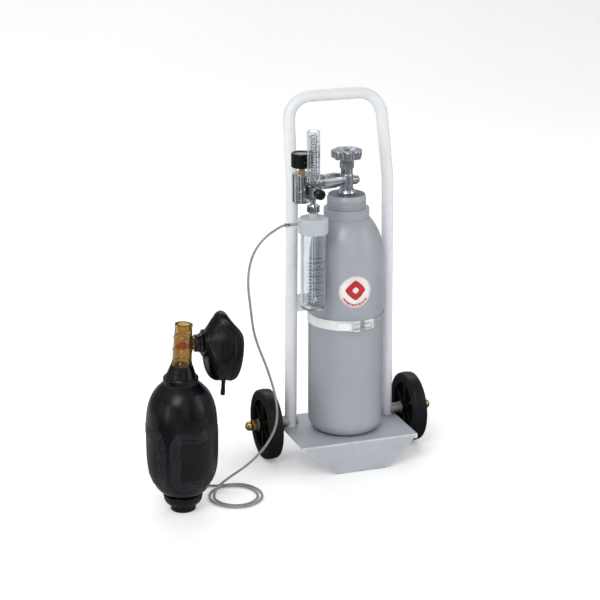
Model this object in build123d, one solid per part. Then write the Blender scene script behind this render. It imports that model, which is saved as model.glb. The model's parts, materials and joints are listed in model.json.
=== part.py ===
from build123d import *
import math
import os

# Trolley-mounted oxygen cylinder with regulator, humidifier and resuscitation bag. Millimetres.
# X points to the right, Y to the back, Z up. The origin is the centre of the foot's flat face on the floor.

# Base plate: a folded sheet whose front lip slopes down to a flat foot
SHEET = 2.5
PLATE_TOP = 56.7
PLATE_HALF_WIDTH = 114.8
PLATE_DEPTH = 172.5
FOOT_DEPTH = 12.0
FOOT_HALF_WIDTH = 48.0
LIP_RUN = 10.8
FOLD_Y = LIP_RUN - FOOT_DEPTH / 2

# Cylinder
CYL_R = 70.0
CYL_Y = FOLD_Y + 83.8
CYL_WALL = 5.0
CYL_CORNER = 24.0
SHOULDER_Z = 393.0
SHOULDER_RISE = 96.0
NECK_R = 28.0
NECK_TOP = 513.5
NECK_BORE = 12.5
RING_R = 42.0
COLLAR_R = 36.0
RING_BOTTOM, RING_TOP, COLLAR_TOP = 468.0, 488.0, 513.0

# Frame tube
TUBE_R = 11.0
TUBE_WALL = 1.6
TUBE_Y = CYL_Y + 33.5
LEG_FOOT_X, LEG_KINK_X, HANDLE_X = 97.6, 94.0, 90.0
KINK_Z = 526.0
HANDLE_Y, HANDLE_Z = CYL_Y + 69.0, 684.0
HANDLE_BEND, KINK_BEND = 44.0, 120.0

# Rear cradle, a strip bent round the back of the cylinder
CRADLE_Z = 301.0
CRADLE_HEIGHT = 34.0
CRADLE_R = 72.2
CRADLE_THICK = 3.0

# Wheels and stub axles
AXLE_Z = 67.2
AXLE_R = 6.0
AXLE_X = LEG_FOOT_X
WHEEL_R = 67.0
WHEEL_WIDTH = 26.0
WHEEL_X = 145.0
RIM_R = 51.5
BOSS_R = 13.0
BOSS_LENGTH = 34.0
RUNNING_GAP = 0.05
WASHER_R, WASHER_THICK = 11.0, 2.0
SPOKES = 6

# Clamp band and its toggle latch
BAND_Z = 280.0
BAND_HEIGHT = 18.0
BAND_IN, BAND_OUT = 70.2, 71.7
LATCH_START, LATCH_END = -36.0, 1.0
LEVER_PIN_AT, LEVER_PIN_R = -5.0, 78.8
BAIL_AT, BAIL_R = -9.5, 77.0
HOOK_AT = 17.0
WIRE_R = 1.0
TONGUE_CATCH = 0.5

# Cylinder valve
VALVE_Z = 541.0
VALVE_R = 12.0
VALVE_TOP = 561.0
CHAMBER_R = 7.5
SEAT_Z = 536.0
GLAND_TOP = 576.0
SPINDLE_R = 4.0
WHEEL_BOTTOM, WHEEL_TOP = 579.0, 596.0
HANDWHEEL_R = 29.0
LOBES = 7

# Regulator group: placed along its own axis, 10 degrees forward of the row's X axis
GROUP = Location((0, CYL_Y, 0), (0, 0, 190))
NUT_START, NUT_END = 17.0, 53.0
NUT_R = 14.0
REG_AT = 94.0
REG_R = 17.3
REG_BOTTOM, REG_TOP = 509.0, 563.0
PISTON_BORE = 12.0
PISTON_Z, PISTON_THICK = 526.0, 5.0
GAUGE_R = 19.4
GAUGE_BOTTOM, GAUGE_TOP = 574.0, 600.0
DIAL_Z = GAUGE_TOP - 6.5
FLOW_FORWARD = 42.0
BLOCK_WIDTH, BLOCK_DEPTH = 24.0, 22.0
BLOCK_BOTTOM, BLOCK_TOP = 525.0, 555.0
TUBE_TOP = 648.0
FLOW_TUBE_R = 12.0
FLOW_Z = 537.0
METER_R = 6.0
FLOAT_R = 3.0
KNOB_R = 9.2
NEEDLE_R = 2.5

# Humidifier, hanging under the flow block
LID_R = 27.0
LID_BOTTOM, LID_TOP = 461.0, 490.0
JAR_R = 23.0
JAR_WALL = 2.0
JAR_BOTTOM, JAR_TOP = 320.0, 472.0
DIP_R = 3.0
DIP_BOTTOM = 338.0
BARB_Z = 480.0
BARB_LENGTH = 18.0

# Resuscitation bag, its valves and mask
BAG = Location((-362, -57, 0))
BAG_R = 63.0
NIPPLE_ANGLE = 60.0
NIPPLE_Z = 21.0
NIPPLE_R = 2.0
NIPPLE_END = 53.0
BAG_COLLAR_R = 35.0
PATIENT_Z = 272.0
PATIENT_TOP = 346.0
PATIENT_R = 18.0
PORT_R = 11.0
SIDE_PORT_END = 20.0
MASK_Z = 310.0
MASK_CENTRE_Z = 305.0
MASK_START = SIDE_PORT_END + 14.6
MASK_DEPTH = 54.0

# Everything above the bag's neck leans towards the mask
LEAN, LEAN_Z = 4.0, 238.0
LEANING = BAG * Pos(0, 0, LEAN_Z) * Rot(0, LEAN, 0) * Pos(0, 0, -LEAN_Z)

# Oxygen hose
HOSE_R = 2.2
COIL_X, COIL_Y = -261.0, -41.0
COIL_R = 52.0
COIL_PITCH = 8.0
COIL_STRETCH = 1.08
COIL_START, COIL_END = 150, 825
COIL_Z = HOSE_R + 0.9
SLEEVE_REACH, SLEEVE_LENGTH, SLEEVE_GAP = 12.5, 21.5, 0.7


def turned(*outline):
    """A solid turned round the Z axis from its closed outline of (radius, height) points."""
    return revolve(make_face(Plane.XZ * Polyline(*outline, close=True)), Axis.Z)


def turned_edges(*edges):
    """A solid turned round the Z axis from edges drawn as (radius, height)."""
    return revolve(make_face(Plane.XZ * Wire([e.edge() for e in edges])), Axis.Z)


def ring(outer, inner, low, high):
    """A plain ring on the Z axis."""
    return turned((inner, low), (outer, low), (outer, high), (inner, high))


def disc(radius, low, high):
    """A plain disc on the Z axis."""
    return turned((0, low), (radius, low), (radius, high), (0, high))


def hexagon(flats, low, high):
    """A hexagonal prism on the Z axis with its corners chamfered by a cone."""
    corner = flats / math.sqrt(3)
    body = Pos(0, 0, low) * extrude(RegularPolygon(corner, 6), high - low)
    drop = (corner - flats / 2) * 0.6
    return body & turned((0, low), (flats / 2, low), (corner, low + drop), (corner, high - drop),
        (flats / 2, high), (0, high))


def bent_path(points, radii):
    """A wire of straight lines through the points, with an arc of the given radius at each inner point."""
    corners = [Vector(*p) for p in points]
    edges = []
    start = corners[0]
    for before, at, after, radius in zip(corners, corners[1:], corners[2:], radii):
        way_in = (at - before).normalized()
        way_out = (after - at).normalized()
        half_turn = math.acos(way_in.dot(way_out)) / 2
        reach = radius * math.tan(half_turn)
        inward = (way_out - way_in).normalized()
        middle = at + inward * (radius / math.cos(half_turn) - radius)
        edges.append(Line(start, at - way_in * reach))
        edges.append(ThreePointArc(at - way_in * reach, middle, at + way_out * reach))
        start = at + way_out * reach
    edges.append(Line(start, corners[-1]))
    return Wire([e.edge() for e in edges])


def rod_along(path, radius, bore=0.0):
    """A round rod or tube swept along a path."""
    start = Plane(path @ 0, z_dir=path % 0)
    section = Circle(radius) - Circle(bore) if bore else Circle(radius)
    return sweep(start * section, path=path)


def both_sides(part):
    """The part and its mirror image across the YZ plane, as two solids."""
    return part + mirror(part, Plane.YZ)


def left(part):
    """The left-hand twin of a part drawn on the right."""
    return mirror(part, Plane.YZ)


def on_cylinder(part):
    """The part moved from the Z axis to the cylinder's axis."""
    return Pos(0, CYL_Y, 0) * part


def round_point(angle, radius):
    """A point round the cylinder: angle in degrees from straight ahead, positive to the right."""
    a = math.radians(angle)
    return radius * math.sin(a), -radius * math.cos(a)


def arc_strip(inner, outer, start, end, low, high):
    """A strip bent round the Z axis between two angles counted from straight ahead."""
    sweep_angle = end - start
    face = make_face(Plane.XZ * Polyline((inner, low), (outer, low), (outer, high), (inner, high),
        close=True))
    return Rot(0, 0, start - 90) * revolve(face, Axis.Z, sweep_angle)


# Trolley


def leg_points():
    """The tube's centre line from the left foot over the handle to the right foot."""
    half = [(-LEG_FOOT_X, TUBE_Y, PLATE_TOP - 1), (-LEG_KINK_X, TUBE_Y, KINK_Z),
        (-HANDLE_X, HANDLE_Y, HANDLE_Z)]
    return half + [(-x, y, z) for x, y, z in reversed(half)]


def axle_at(part):
    """The part turned to lie along +X from the origin, moved onto the axle's line."""
    return Pos(0, TUBE_Y, AXLE_Z) * Rot(0, 90, 0) * part


def frame_tube():
    path = bent_path(leg_points(), [KINK_BEND, HANDLE_BEND, HANDLE_BEND, KINK_BEND])
    tube = rod_along(path, TUBE_R, TUBE_R - TUBE_WALL)
    holes = both_sides(axle_at(disc(AXLE_R, AXLE_X - 2 * TUBE_R, AXLE_X + 2 * TUBE_R)))
    below_plate = Pos(0, TUBE_Y, PLATE_TOP - 10) * Box(4 * LEG_FOOT_X, 4 * TUBE_R, 20)
    return tube - holes - below_plate


def base_plate():
    middle = PLATE_TOP - SHEET / 2
    back = FOLD_Y + PLATE_DEPTH
    toe = -FOOT_DEPTH / 2
    line = FilletPolyline((back, middle), (FOLD_Y, middle), (toe + 1, SHEET / 2), (-toe, SHEET / 2),
        radius=3)
    sheet = extrude(Plane.YZ * trace(line, SHEET), PLATE_HALF_WIDTH, both=True)
    lip_corner = Polyline(
        (FOOT_HALF_WIDTH, -1), (PLATE_HALF_WIDTH + 5, -1), (PLATE_HALF_WIDTH + 5, PLATE_TOP),
        (PLATE_HALF_WIDTH, PLATE_TOP),
        close=True)
    trim = Pos(0, FOLD_Y, 0) * extrude(Plane.XZ * make_face(lip_corner), 4 * LIP_RUN, both=True)
    trim = trim & Pos(0, FOLD_Y - 4 * LIP_RUN, PLATE_TOP / 2) * Box(4 * PLATE_HALF_WIDTH, 8 * LIP_RUN,
        2 * PLATE_TOP)
    flange_trim = Pos(PLATE_HALF_WIDTH, 0, 0) * Box(2 * (PLATE_HALF_WIDTH - FOOT_HALF_WIDTH), 40, 3 * SHEET)
    return sheet - both_sides(trim) - both_sides(flange_trim)


def rear_cradle():
    low, high = CRADLE_Z - CRADLE_HEIGHT / 2, CRADLE_Z + CRADLE_HEIGHT / 2
    outer = CRADLE_R + CRADLE_THICK
    wing_angle = math.degrees(math.asin((TUBE_Y - CYL_Y) / outer))
    bend = arc_strip(CRADLE_R, outer, 90 + wing_angle, 270 - wing_angle, low, high)
    wing_start = outer * math.cos(math.radians(wing_angle)) - 2
    wing_end = LEG_FOOT_X
    wing = Box(wing_end - wing_start, CRADLE_THICK, CRADLE_HEIGHT)
    wing = Pos((wing_start + wing_end) / 2, TUBE_Y - CYL_Y + CRADLE_THICK / 2, CRADLE_Z) * wing
    tab = arc_strip(CRADLE_R, outer, 172, 188, BAND_Z - BAND_HEIGHT / 2, low)
    strip = on_cylinder(bend + tab + both_sides(wing))
    leg = rod_along(bent_path(leg_points(), [KINK_BEND, HANDLE_BEND, HANDLE_BEND, KINK_BEND]), TUBE_R)
    return strip - leg + band_stud()


def axle():
    head = disc(8, AXLE_X - TUBE_R - 2, AXLE_X - TUBE_R - 0.2)
    shank = disc(AXLE_R, AXLE_X - TUBE_R - 0.2, nut_face() + 14)
    return head + shank


def stub_axles():
    return both_sides(axle_at(axle()))


def boss_inner():
    """Distance from the middle plane to the wheel boss's inner end."""
    return WHEEL_X - BOSS_LENGTH / 2


def boss_outer():
    return WHEEL_X + BOSS_LENGTH / 2


def nut_face():
    """Distance from the middle plane to the cap nut's seat."""
    return boss_outer() + 0.5 + WASHER_THICK


def axle_spacers():
    start, end = AXLE_X, boss_inner() - 0.5 - WASHER_THICK
    groove = 1.6
    step = 3.0
    body = ring(10, AXLE_R, start, end)
    for k in range(3):
        low = AXLE_X + TUBE_R + 1.5 + k * step
        body -= ring(10.5, 8.6, low, low + groove)
    leg = Pos(AXLE_X, TUBE_Y, 0) * Cylinder(TUBE_R, 4 * AXLE_Z)
    return both_sides(axle_at(body) - leg)


def washers():
    inner = ring(WASHER_R, AXLE_R, boss_inner() - 0.5 - WASHER_THICK, boss_inner() - 0.5)
    outer = ring(WASHER_R, AXLE_R, boss_outer() + 0.5, nut_face())
    return both_sides(axle_at(inner)) + both_sides(axle_at(outer))


def cap_nuts():
    face = nut_face()
    dome_r = 9.2
    neck = face + 9
    dome_z = neck + 5.5
    side = math.sqrt(dome_r**2 - 5.5**2)
    dome = turned_edges(
        Line((0, neck), (side, neck)),
        ThreePointArc((side, neck), (dome_r, dome_z), (0, dome_z + dome_r)),
        Line((0, dome_z + dome_r), (0, neck)))
    nut = hexagon(19, face, neck + 0.01) + dome - disc(AXLE_R, face - 1, face + 14)
    return both_sides(axle_at(nut))


def wheel_hub():
    half = WHEEL_WIDTH / 2 - 1.5
    low, high = WHEEL_X - half, WHEEL_X + half
    web_low, web_high = WHEEL_X - 2.5, WHEEL_X + 2.5
    hub = ring(RIM_R, RIM_R - 4, low, high) + ring(RIM_R - 3, BOSS_R - 1, web_low, web_high)
    hub += ring(BOSS_R, AXLE_R, boss_inner(), boss_outer())
    for k in range(SPOKES):
        rib = Pos((RIM_R + BOSS_R) / 2 - 1, 0, WHEEL_X) * Box(RIM_R - BOSS_R, 4, 2 * half - 5)
        hub += Rot(0, 0, k * 360 / SPOKES) * rib
    return axle_at(hub - disc(AXLE_R + RUNNING_GAP, boss_inner() - 1, boss_outer() + 1))


def tyre():
    half = WHEEL_WIDTH / 2
    crown = turned_edges(
        Line((RIM_R, WHEEL_X - half + 1.5), (RIM_R + 2, WHEEL_X - half)),
        Line((RIM_R + 2, WHEEL_X - half), (WHEEL_R - 6, WHEEL_X - half)),
        ThreePointArc((WHEEL_R - 6, WHEEL_X - half), (WHEEL_R - 1.5, WHEEL_X - half + 2.5),
            (WHEEL_R - 0.8, WHEEL_X - half + 6)),
        ThreePointArc((WHEEL_R - 0.8, WHEEL_X - half + 6), (WHEEL_R, WHEEL_X),
            (WHEEL_R - 0.8, WHEEL_X + half - 6)),
        ThreePointArc((WHEEL_R - 0.8, WHEEL_X + half - 6), (WHEEL_R - 1.5, WHEEL_X + half - 2.5),
            (WHEEL_R - 6, WHEEL_X + half)),
        Line((WHEEL_R - 6, WHEEL_X + half), (RIM_R + 2, WHEEL_X + half)),
        Line((RIM_R + 2, WHEEL_X + half), (RIM_R, WHEEL_X + half - 1.5)),
        Line((RIM_R, WHEEL_X + half - 1.5), (RIM_R, WHEEL_X - half + 1.5)))
    return axle_at(crown)


# Clamp band and latch


def band_stud():
    """The stud on the cradle's tab that the band hangs on, with its riveted head at the back."""
    seat = CRADLE_R + CRADLE_THICK - 0.4
    stud = turned((0, BAND_IN + 0.4), (2, BAND_IN + 0.4), (2, seat), (3.6, seat), (2.6, seat + 2),
        (0, seat + 2.4))
    return Pos(0, CYL_Y, BAND_Z) * Rot(-90, 0, 0) * stud


def clamp_band():
    low, high = BAND_Z - BAND_HEIGHT / 2, BAND_Z + BAND_HEIGHT / 2
    band = arc_strip(BAND_IN, BAND_OUT, HOOK_AT - 8, 360 + LATCH_END, low, high)
    return on_cylinder(band) - band_stud() + bail_hook()


def upright(angle, radius, part):
    """The part moved from the Z axis to an upright line on the front of the cylinder, at band height."""
    x, y = round_point(angle, radius)
    return Pos(x, CYL_Y + y, BAND_Z) * part


def latch_base():
    base = arc_strip(BAND_OUT, BAND_OUT + 1.2, LATCH_START, LATCH_END, -8.5, 8.5)
    ears = None
    for side in (-1, 1):
        low, high = sorted((side * 7.5, side * 8.5))
        ear = arc_strip(BAND_OUT, LEVER_PIN_R + 2, LEVER_PIN_AT - 4, LEVER_PIN_AT + 4, low, high)
        ears = ear if ears is None else ears + ear
    pins = upright(LEVER_PIN_AT, LEVER_PIN_R, disc(1.5, -8.5, -6) + disc(1.5, 6, 8.5))
    return Pos(0, CYL_Y, BAND_Z) * (base + ears) + pins


def latch_lever():
    plate = arc_strip(75.6, 76.8, -33, -12, -7.2, 7.2)
    lip = arc_strip(76.8, 78.6, -33, -31.6, -7.2, 7.2)
    cheeks = None
    for side in (-1, 1):
        low, high = sorted((side * 6.2, side * 7.2))
        cheek = arc_strip(75.0, 80.4, -16, LEVER_PIN_AT + 2, low, high)
        cheeks = cheek if cheeks is None else cheeks + cheek
    part = Pos(0, CYL_Y, BAND_Z) * (plate + lip + cheeks)
    pin_hole = upright(LEVER_PIN_AT, LEVER_PIN_R, disc(1.5 + RUNNING_GAP, -9, 9))
    bail_hole = upright(BAIL_AT, BAIL_R, disc(WIRE_R + RUNNING_GAP, -9, 9))
    return part - pin_hole - bail_hole


def wire_bail():
    """A wire loop from the lever round the hook; its ends stand in the lever's cheeks."""
    x0, y0 = round_point(BAIL_AT, BAIL_R)
    x1, y1 = round_point(HOOK_AT, BAIL_R)
    reach, ends = 4.6, 7.0
    start = (x0, y0)
    stop = (x1, y1)
    points = [(*start, -ends), (*start, -reach), (*stop, -reach), (*stop, reach), (*start, reach),
        (*start, ends)]
    path = bent_path(points, [1.3, 1.8, 1.8, 1.3])
    return Pos(0, CYL_Y, BAND_Z) * rod_along(path, WIRE_R)


def bail_hook():
    """An upright tongue on a riveted foot that the wire loop pulls against."""
    foot = arc_strip(BAND_OUT, BAND_OUT + 1.2, HOOK_AT - 7, HOOK_AT + 9, -8.5, 8.5)
    tongue = arc_strip(BAND_OUT, BAIL_R + TONGUE_CATCH, HOOK_AT - 2.4, HOOK_AT - 1.1, -3, 3)
    return Pos(0, CYL_Y, BAND_Z) * (foot + tongue)


# Cylinder and its valve


def shoulder_arc(radius, rise, end_radius):
    """The quarter ellipse of the shoulder, from the wall in to end_radius."""
    last = math.acos(end_radius / radius)
    steps = 8
    points = [(radius * math.cos(last * k / steps), SHOULDER_Z + rise * math.sin(last * k / steps))
        for k in range(steps + 1)]
    return Spline(*points)


def bottle(radius, corner, floor, dimple, rise, neck, top):
    """A turned bottle: domed-in base, round corner, straight wall, elliptical shoulder and straight neck."""
    flat = radius - corner
    mid = corner * (1 - math.sqrt(0.5))
    shoulder = shoulder_arc(radius, rise, neck)
    return turned_edges(
        ThreePointArc((0, floor + dimple), (flat / 2, floor + dimple * 0.7), (flat, floor)),
        ThreePointArc((flat, floor), (radius - mid, floor + mid), (radius, floor + corner)),
        Line((radius, floor + corner), (radius, SHOULDER_Z)),
        shoulder,
        Line(shoulder @ 1, (neck, top)),
        Line((neck, top), (0, top)),
        Line((0, top), (0, floor + dimple)))


def cylinder_shell():
    body = bottle(CYL_R, CYL_CORNER, PLATE_TOP, 9, SHOULDER_RISE, NECK_R, NECK_TOP)
    thin = CYL_WALL
    cavity = bottle(CYL_R - thin, CYL_CORNER - thin, PLATE_TOP + thin + 1, 9, SHOULDER_RISE - thin,
        NECK_BORE, NECK_TOP + 1)
    return on_cylinder(body - cavity)


def neck_ring():
    """The collar pressed on the neck; its upper part has rounded thread grooves for a transport cap."""
    body = turned(
        (NECK_R, RING_BOTTOM), (RING_R, RING_BOTTOM), (RING_R, RING_TOP - 1), (RING_R - 1, RING_TOP),
        (COLLAR_R, RING_TOP), (COLLAR_R, COLLAR_TOP - 6), (COLLAR_R - 2.5, COLLAR_TOP), (NECK_R, COLLAR_TOP))
    pitch = 4.0
    for k in range(3):
        middle = RING_TOP + 5 + k * pitch
        body -= Pos(0, 0, middle) * Torus(COLLAR_R + 0.4, 1.3)
    inside = bottle(CYL_R, CYL_CORNER, PLATE_TOP, 9, SHOULDER_RISE, NECK_R, NECK_TOP)
    return on_cylinder(body - inside)


def cylinder_label():
    """A round sticker wrapped on the cylinder's front."""
    middle_z = 345.0
    patch = ring(CYL_R + 0.3, CYL_R, middle_z - 32, middle_z + 32)
    stamp = Rot(0, 0, -6) * Pos(0, -CYL_R, middle_z) * Rot(90, 0, 0) * Cylinder(30, 40)
    return on_cylinder(patch & stamp)


def group_arm(radius, start, end, height=VALVE_Z):
    """A rod lying along the group's axis (its local X) between two distances from the valve."""
    return Pos(0, 0, height) * Rot(0, 90, 0) * disc(radius, start, end)


def group_front(radius, start, end, at=REG_AT, height=VALVE_Z):
    """A rod lying along the group's forward direction (its local Y)."""
    return Pos(at, 0, height) * Rot(-90, 0, 0) * disc(radius, start, end)


def valve_body():
    stem = turned((0, 486), (11.2, 486), (NECK_BORE, NECK_TOP - 0.5), (NECK_BORE, NECK_TOP),
        (14.7, NECK_TOP), (14.7, NECK_TOP + 5),
                  (13.7, NECK_TOP + 6), (0, NECK_TOP + 6))
    column = turned((0, NECK_TOP + 5), (VALVE_R, NECK_TOP + 5), (VALVE_R, 548), (11, 551), (11, VALVE_TOP),
        (0, VALVE_TOP))
    outlet = group_arm(10.5, 0, 34)
    boss = group_arm(8.5, -20, 0, VALVE_Z - 4)
    body = stem + column + outlet + boss
    body -= disc(CHAMBER_R + RUNNING_GAP, SEAT_Z, VALVE_TOP + 1)
    body += ring(4.5, 3, SEAT_Z - 1, SEAT_Z + 1)
    body -= disc(3, 485, SEAT_Z + 2)
    body -= group_arm(4, CHAMBER_R - 2, 35)
    body -= group_arm(2, -21, -CHAMBER_R + 2, VALVE_Z - 4 + 1.5)
    body -= group_arm(5, -21, -13, VALVE_Z - 4)
    return GROUP * body


def safety_plug():
    """The bursting-disc plug screwed into the boss opposite the outlet."""
    head = Pos(0, 0, VALVE_Z - 4) * Rot(0, -90, 0) * hexagon(13, 20, 24)
    return GROUP * (group_arm(5, -20, -13.2, VALVE_Z - 4) + head)


def valve_gland():
    """The hexagon gland nut that closes the valve chamber."""
    nut = hexagon(24.5, VALVE_TOP, GLAND_TOP - 3) + disc(9, GLAND_TOP - 3.01, GLAND_TOP)
    nut += disc(CHAMBER_R, VALVE_TOP - 5, VALVE_TOP + 0.01)
    return on_cylinder(nut - disc(SPINDLE_R + RUNNING_GAP, VALVE_TOP - 6, GLAND_TOP + 1))


def valve_spindle():
    """The turning spindle: a collar under the gland, a flat tongue below and a square for the handwheel."""
    tongue = Pos(0, 0, VALVE_TOP - 11.5) * Box(5, 1.9, 5)
    collar = disc(6.5, VALVE_TOP - 9, VALVE_TOP - 5.2)
    shaft = disc(SPINDLE_R, VALVE_TOP - 5.3, WHEEL_BOTTOM + 8)
    stud = disc(2.5, WHEEL_BOTTOM + 7.9, WHEEL_TOP + 1.5)
    return on_cylinder(tongue + collar + shaft + stud + spindle_nut())


def spindle_nut():
    """The small hexagon nut that holds the handwheel down."""
    seat = WHEEL_TOP - 3
    return hexagon(9, seat, seat + 4) - disc(2.5, seat - 1, seat + 5)


def valve_plug():
    """The rising plug with its seat face, driven by the spindle's tongue in its slot."""
    body = disc(CHAMBER_R, SEAT_Z + 2.2, SEAT_Z + 12) + disc(5, SEAT_Z + 1.1, SEAT_Z + 2.3)
    slot = Pos(0, 0, SEAT_Z + 12) * Box(2 * CHAMBER_R + 1, 2.1, 8)
    round_slot = disc(3.2, SEAT_Z + 8, SEAT_Z + 13)
    return on_cylinder(body - slot - round_slot)


def handwheel():
    low, high = WHEEL_BOTTOM, WHEEL_TOP
    rim_r = HANDWHEEL_R - 6.5
    blank = turned((0, low + 2), (rim_r - 4, low + 2), (rim_r, low), (rim_r, high), (rim_r - 5, high),
        (12, high - 3), (0, high - 3))
    for k in range(LOBES):
        lobe = Pos(rim_r - 1.5, 0, (low + high) / 2) * Cylinder(7.8, high - low - 1)
        blank += Rot(0, 0, k * 360 / LOBES) * fillet(lobe.edges().filter_by(GeomType.CIRCLE), 3)
    for k in range(LOBES):
        notch = Pos(HANDWHEEL_R - 1.5, 0, (low + high) / 2) * Cylinder(3.4, 2 * (high - low))
        blank -= Rot(0, 0, (k + 0.5) * 360 / LOBES) * notch
    hub = disc(9, low - 2.5, low + 4)
    return on_cylinder(blank + hub - disc(SPINDLE_R, low - 4, low + 8) - disc(2.5, low + 7, high))


# Regulator


def inlet_nut():
    """The knurled union nut on the valve's outlet."""
    body = group_arm(NUT_R - 1, NUT_START, NUT_END) + group_arm(NUT_R, NUT_START + 8, NUT_END - 1)
    teeth = 24
    groove = Pos((NUT_START + 9 + NUT_END) / 2, 0, VALVE_Z + NUT_R) * Box(NUT_END - NUT_START - 12, 1.4, 1.8)
    axis = Axis((0, 0, VALVE_Z), (1, 0, 0))
    for k in range(teeth):
        body -= groove.rotate(axis, k * 360 / teeth)
    body -= group_arm(10.5 + RUNNING_GAP, NUT_START - 1, 40)
    return GROUP * (body - group_arm(7 + RUNNING_GAP, 39, NUT_END + 1))


def inlet_stem():
    """The tail that the nut pulls against the valve's outlet, with its flange and bore."""
    tail = group_arm(7, 35, REG_AT - 10) + group_arm(10, 35, 39.5) + group_arm(8.5, NUT_END + 4, REG_AT - 14)
    tail -= group_arm(2, 34, REG_AT - 9)
    tail -= group_arm(4, 34, 41)
    body = disc(REG_R, REG_BOTTOM, REG_TOP)
    return GROUP * (tail - Pos(REG_AT, 0, 0) * body + group_arm(7, REG_AT - 18, REG_AT - 12)
        - group_arm(2, REG_AT - 20, REG_AT - 9))


def inlet_seal():
    return GROUP * (group_arm(7.5, 34.1, 34.9) - group_arm(4, 33, 36))


def regulator_body():
    low = REG_BOTTOM + 7
    body = turned((0, low), (REG_R, low), (REG_R, 531.6), (REG_R - 0.8, 532), (REG_R - 0.8, 533),
        (REG_R, 533.4), (REG_R, REG_TOP - 2),
                  (REG_R - 2, REG_TOP), (0, REG_TOP))
    body -= disc(PISTON_BORE, low - 1, PISTON_Z + PISTON_THICK + 6.5)
    body -= disc(1.6, PISTON_Z, VALVE_Z)
    body -= disc(2, VALVE_Z, REG_TOP + 1)
    body -= disc(4, REG_TOP - 8, REG_TOP + 1)
    body = Pos(REG_AT, 0, 0) * body
    body -= group_arm(2, REG_AT - 20, REG_AT + 0.5)
    body -= group_arm(7, REG_AT - 20, REG_AT - 12)
    body -= group_front(2, 8, 20, height=PISTON_Z + PISTON_THICK + 4)
    body -= group_front(5, 14, 20, height=PISTON_Z + PISTON_THICK + 4)
    return GROUP * body


def regulator_cap():
    """The screwed cap under the regulator body that holds the spring."""
    top = REG_BOTTOM + 7
    cap = turned((0, REG_BOTTOM), (REG_R - 1.5, REG_BOTTOM), (REG_R, REG_BOTTOM + 1.5), (REG_R, top),
        (0, top))
    cap += ring(PISTON_BORE, PISTON_BORE - 1.5, top - 0.1, top + 3)
    return GROUP * (Pos(REG_AT, 0, 0) * cap)


def regulator_piston():
    low = PISTON_Z
    piston = disc(PISTON_BORE - RUNNING_GAP, low, low + PISTON_THICK) + disc(1.5, low + PISTON_THICK,
        VALVE_Z - 2.2)
    return GROUP * (Pos(REG_AT, 0, 0) * piston)


def regulator_spring():
    wire, coil_r = 0.8, 8.5
    low, high = REG_BOTTOM + 7 + wire, PISTON_Z - wire - 0.05
    turns = 3
    path = Helix((high - low) / turns, high - low, coil_r)
    coil = sweep(Plane(path @ 0, z_dir=path % 0) * Circle(wire), path=path)
    return GROUP * (Pos(REG_AT, 0, low) * coil)


def gauge_stem():
    stem = disc(4, REG_TOP - 8, GAUGE_BOTTOM + 4) + hexagon(12, REG_TOP + 0.5, REG_TOP + 8)
    return GROUP * (Pos(REG_AT, 0, 0) * (stem - disc(1.5, REG_TOP - 9, GAUGE_BOTTOM + 5)))


def gauge_case():
    outer, low, high = GAUGE_R - 2.4, GAUGE_BOTTOM + 0.8, GAUGE_TOP - 1.5
    cup = turned((0, low), (outer, low), (outer, high), (outer - 1, high), (outer - 1, low + 1.2),
        (0, low + 1.2))
    return GROUP * (Pos(REG_AT, 0, 0) * (cup - disc(4, low - 1, low + 3)))


def gauge_boot():
    """The rubber cover round the gauge."""
    inner = GAUGE_R - 2.4
    boot = turned(
        (6.5, GAUGE_BOTTOM), (GAUGE_R - 1.5, GAUGE_BOTTOM), (GAUGE_R, GAUGE_BOTTOM + 1.5),
        (GAUGE_R, GAUGE_TOP - 1.5),
        (GAUGE_R - 1, GAUGE_TOP), (inner - 1.2, GAUGE_TOP), (inner - 1.2, GAUGE_TOP - 1.5),
        (inner, GAUGE_TOP - 1.5),
        (inner, GAUGE_BOTTOM + 0.8), (6.5, GAUGE_BOTTOM + 0.8))
    return GROUP * (Pos(REG_AT, 0, 0) * boot)


def gauge_dial():
    return GROUP * (Pos(REG_AT, 0, 0) * ring(GAUGE_R - 3.5, 1.1, DIAL_Z - 0.8, DIAL_Z))


def gauge_pointer():
    """The pointer on its spindle, at the empty end of the scale."""
    blade = Polyline((-4, -1.2), (-4, 1.2), (0, 1.8), (13.5, 0.3), (13.5, -0.3), (0, -1.8), close=True)
    pointer = Pos(0, 0, DIAL_Z + 0.8) * extrude(make_face(blade), 0.6)
    return GROUP * (Pos(REG_AT, 0, 0) * Rot(0, 0, 45) * (pointer + disc(1.05, DIAL_Z - 3, DIAL_Z + 1.8)))


def gauge_tube():
    """The curved pressure tube inside the case, with the block it is brazed into."""
    middle = GAUGE_BOTTOM + 8
    face = Pos(11.5, 0, middle) * Circle(1.6).rotate(Axis.X, 90)
    tube = revolve(face, Axis.Z, 270)
    block = Pos(8, 0, middle - 1.6) * Box(10, 4, 4.6)
    return GROUP * (Pos(REG_AT, 0, 0) * (tube + block + ring(4, 1.5, GAUGE_BOTTOM + 4, middle + 0.7)))


def gauge_window():
    outer = GAUGE_R - 3.4
    window = disc(outer - 0.05, GAUGE_TOP - 3, GAUGE_TOP - 1.5)
    return GROUP * (Pos(REG_AT, 0, 0) * window)


# Flowmeter


def at_flow(part):
    """The part moved from the Z axis to the flowmeter's axis."""
    return GROUP * (Pos(REG_AT, FLOW_FORWARD, 0) * part)


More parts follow.
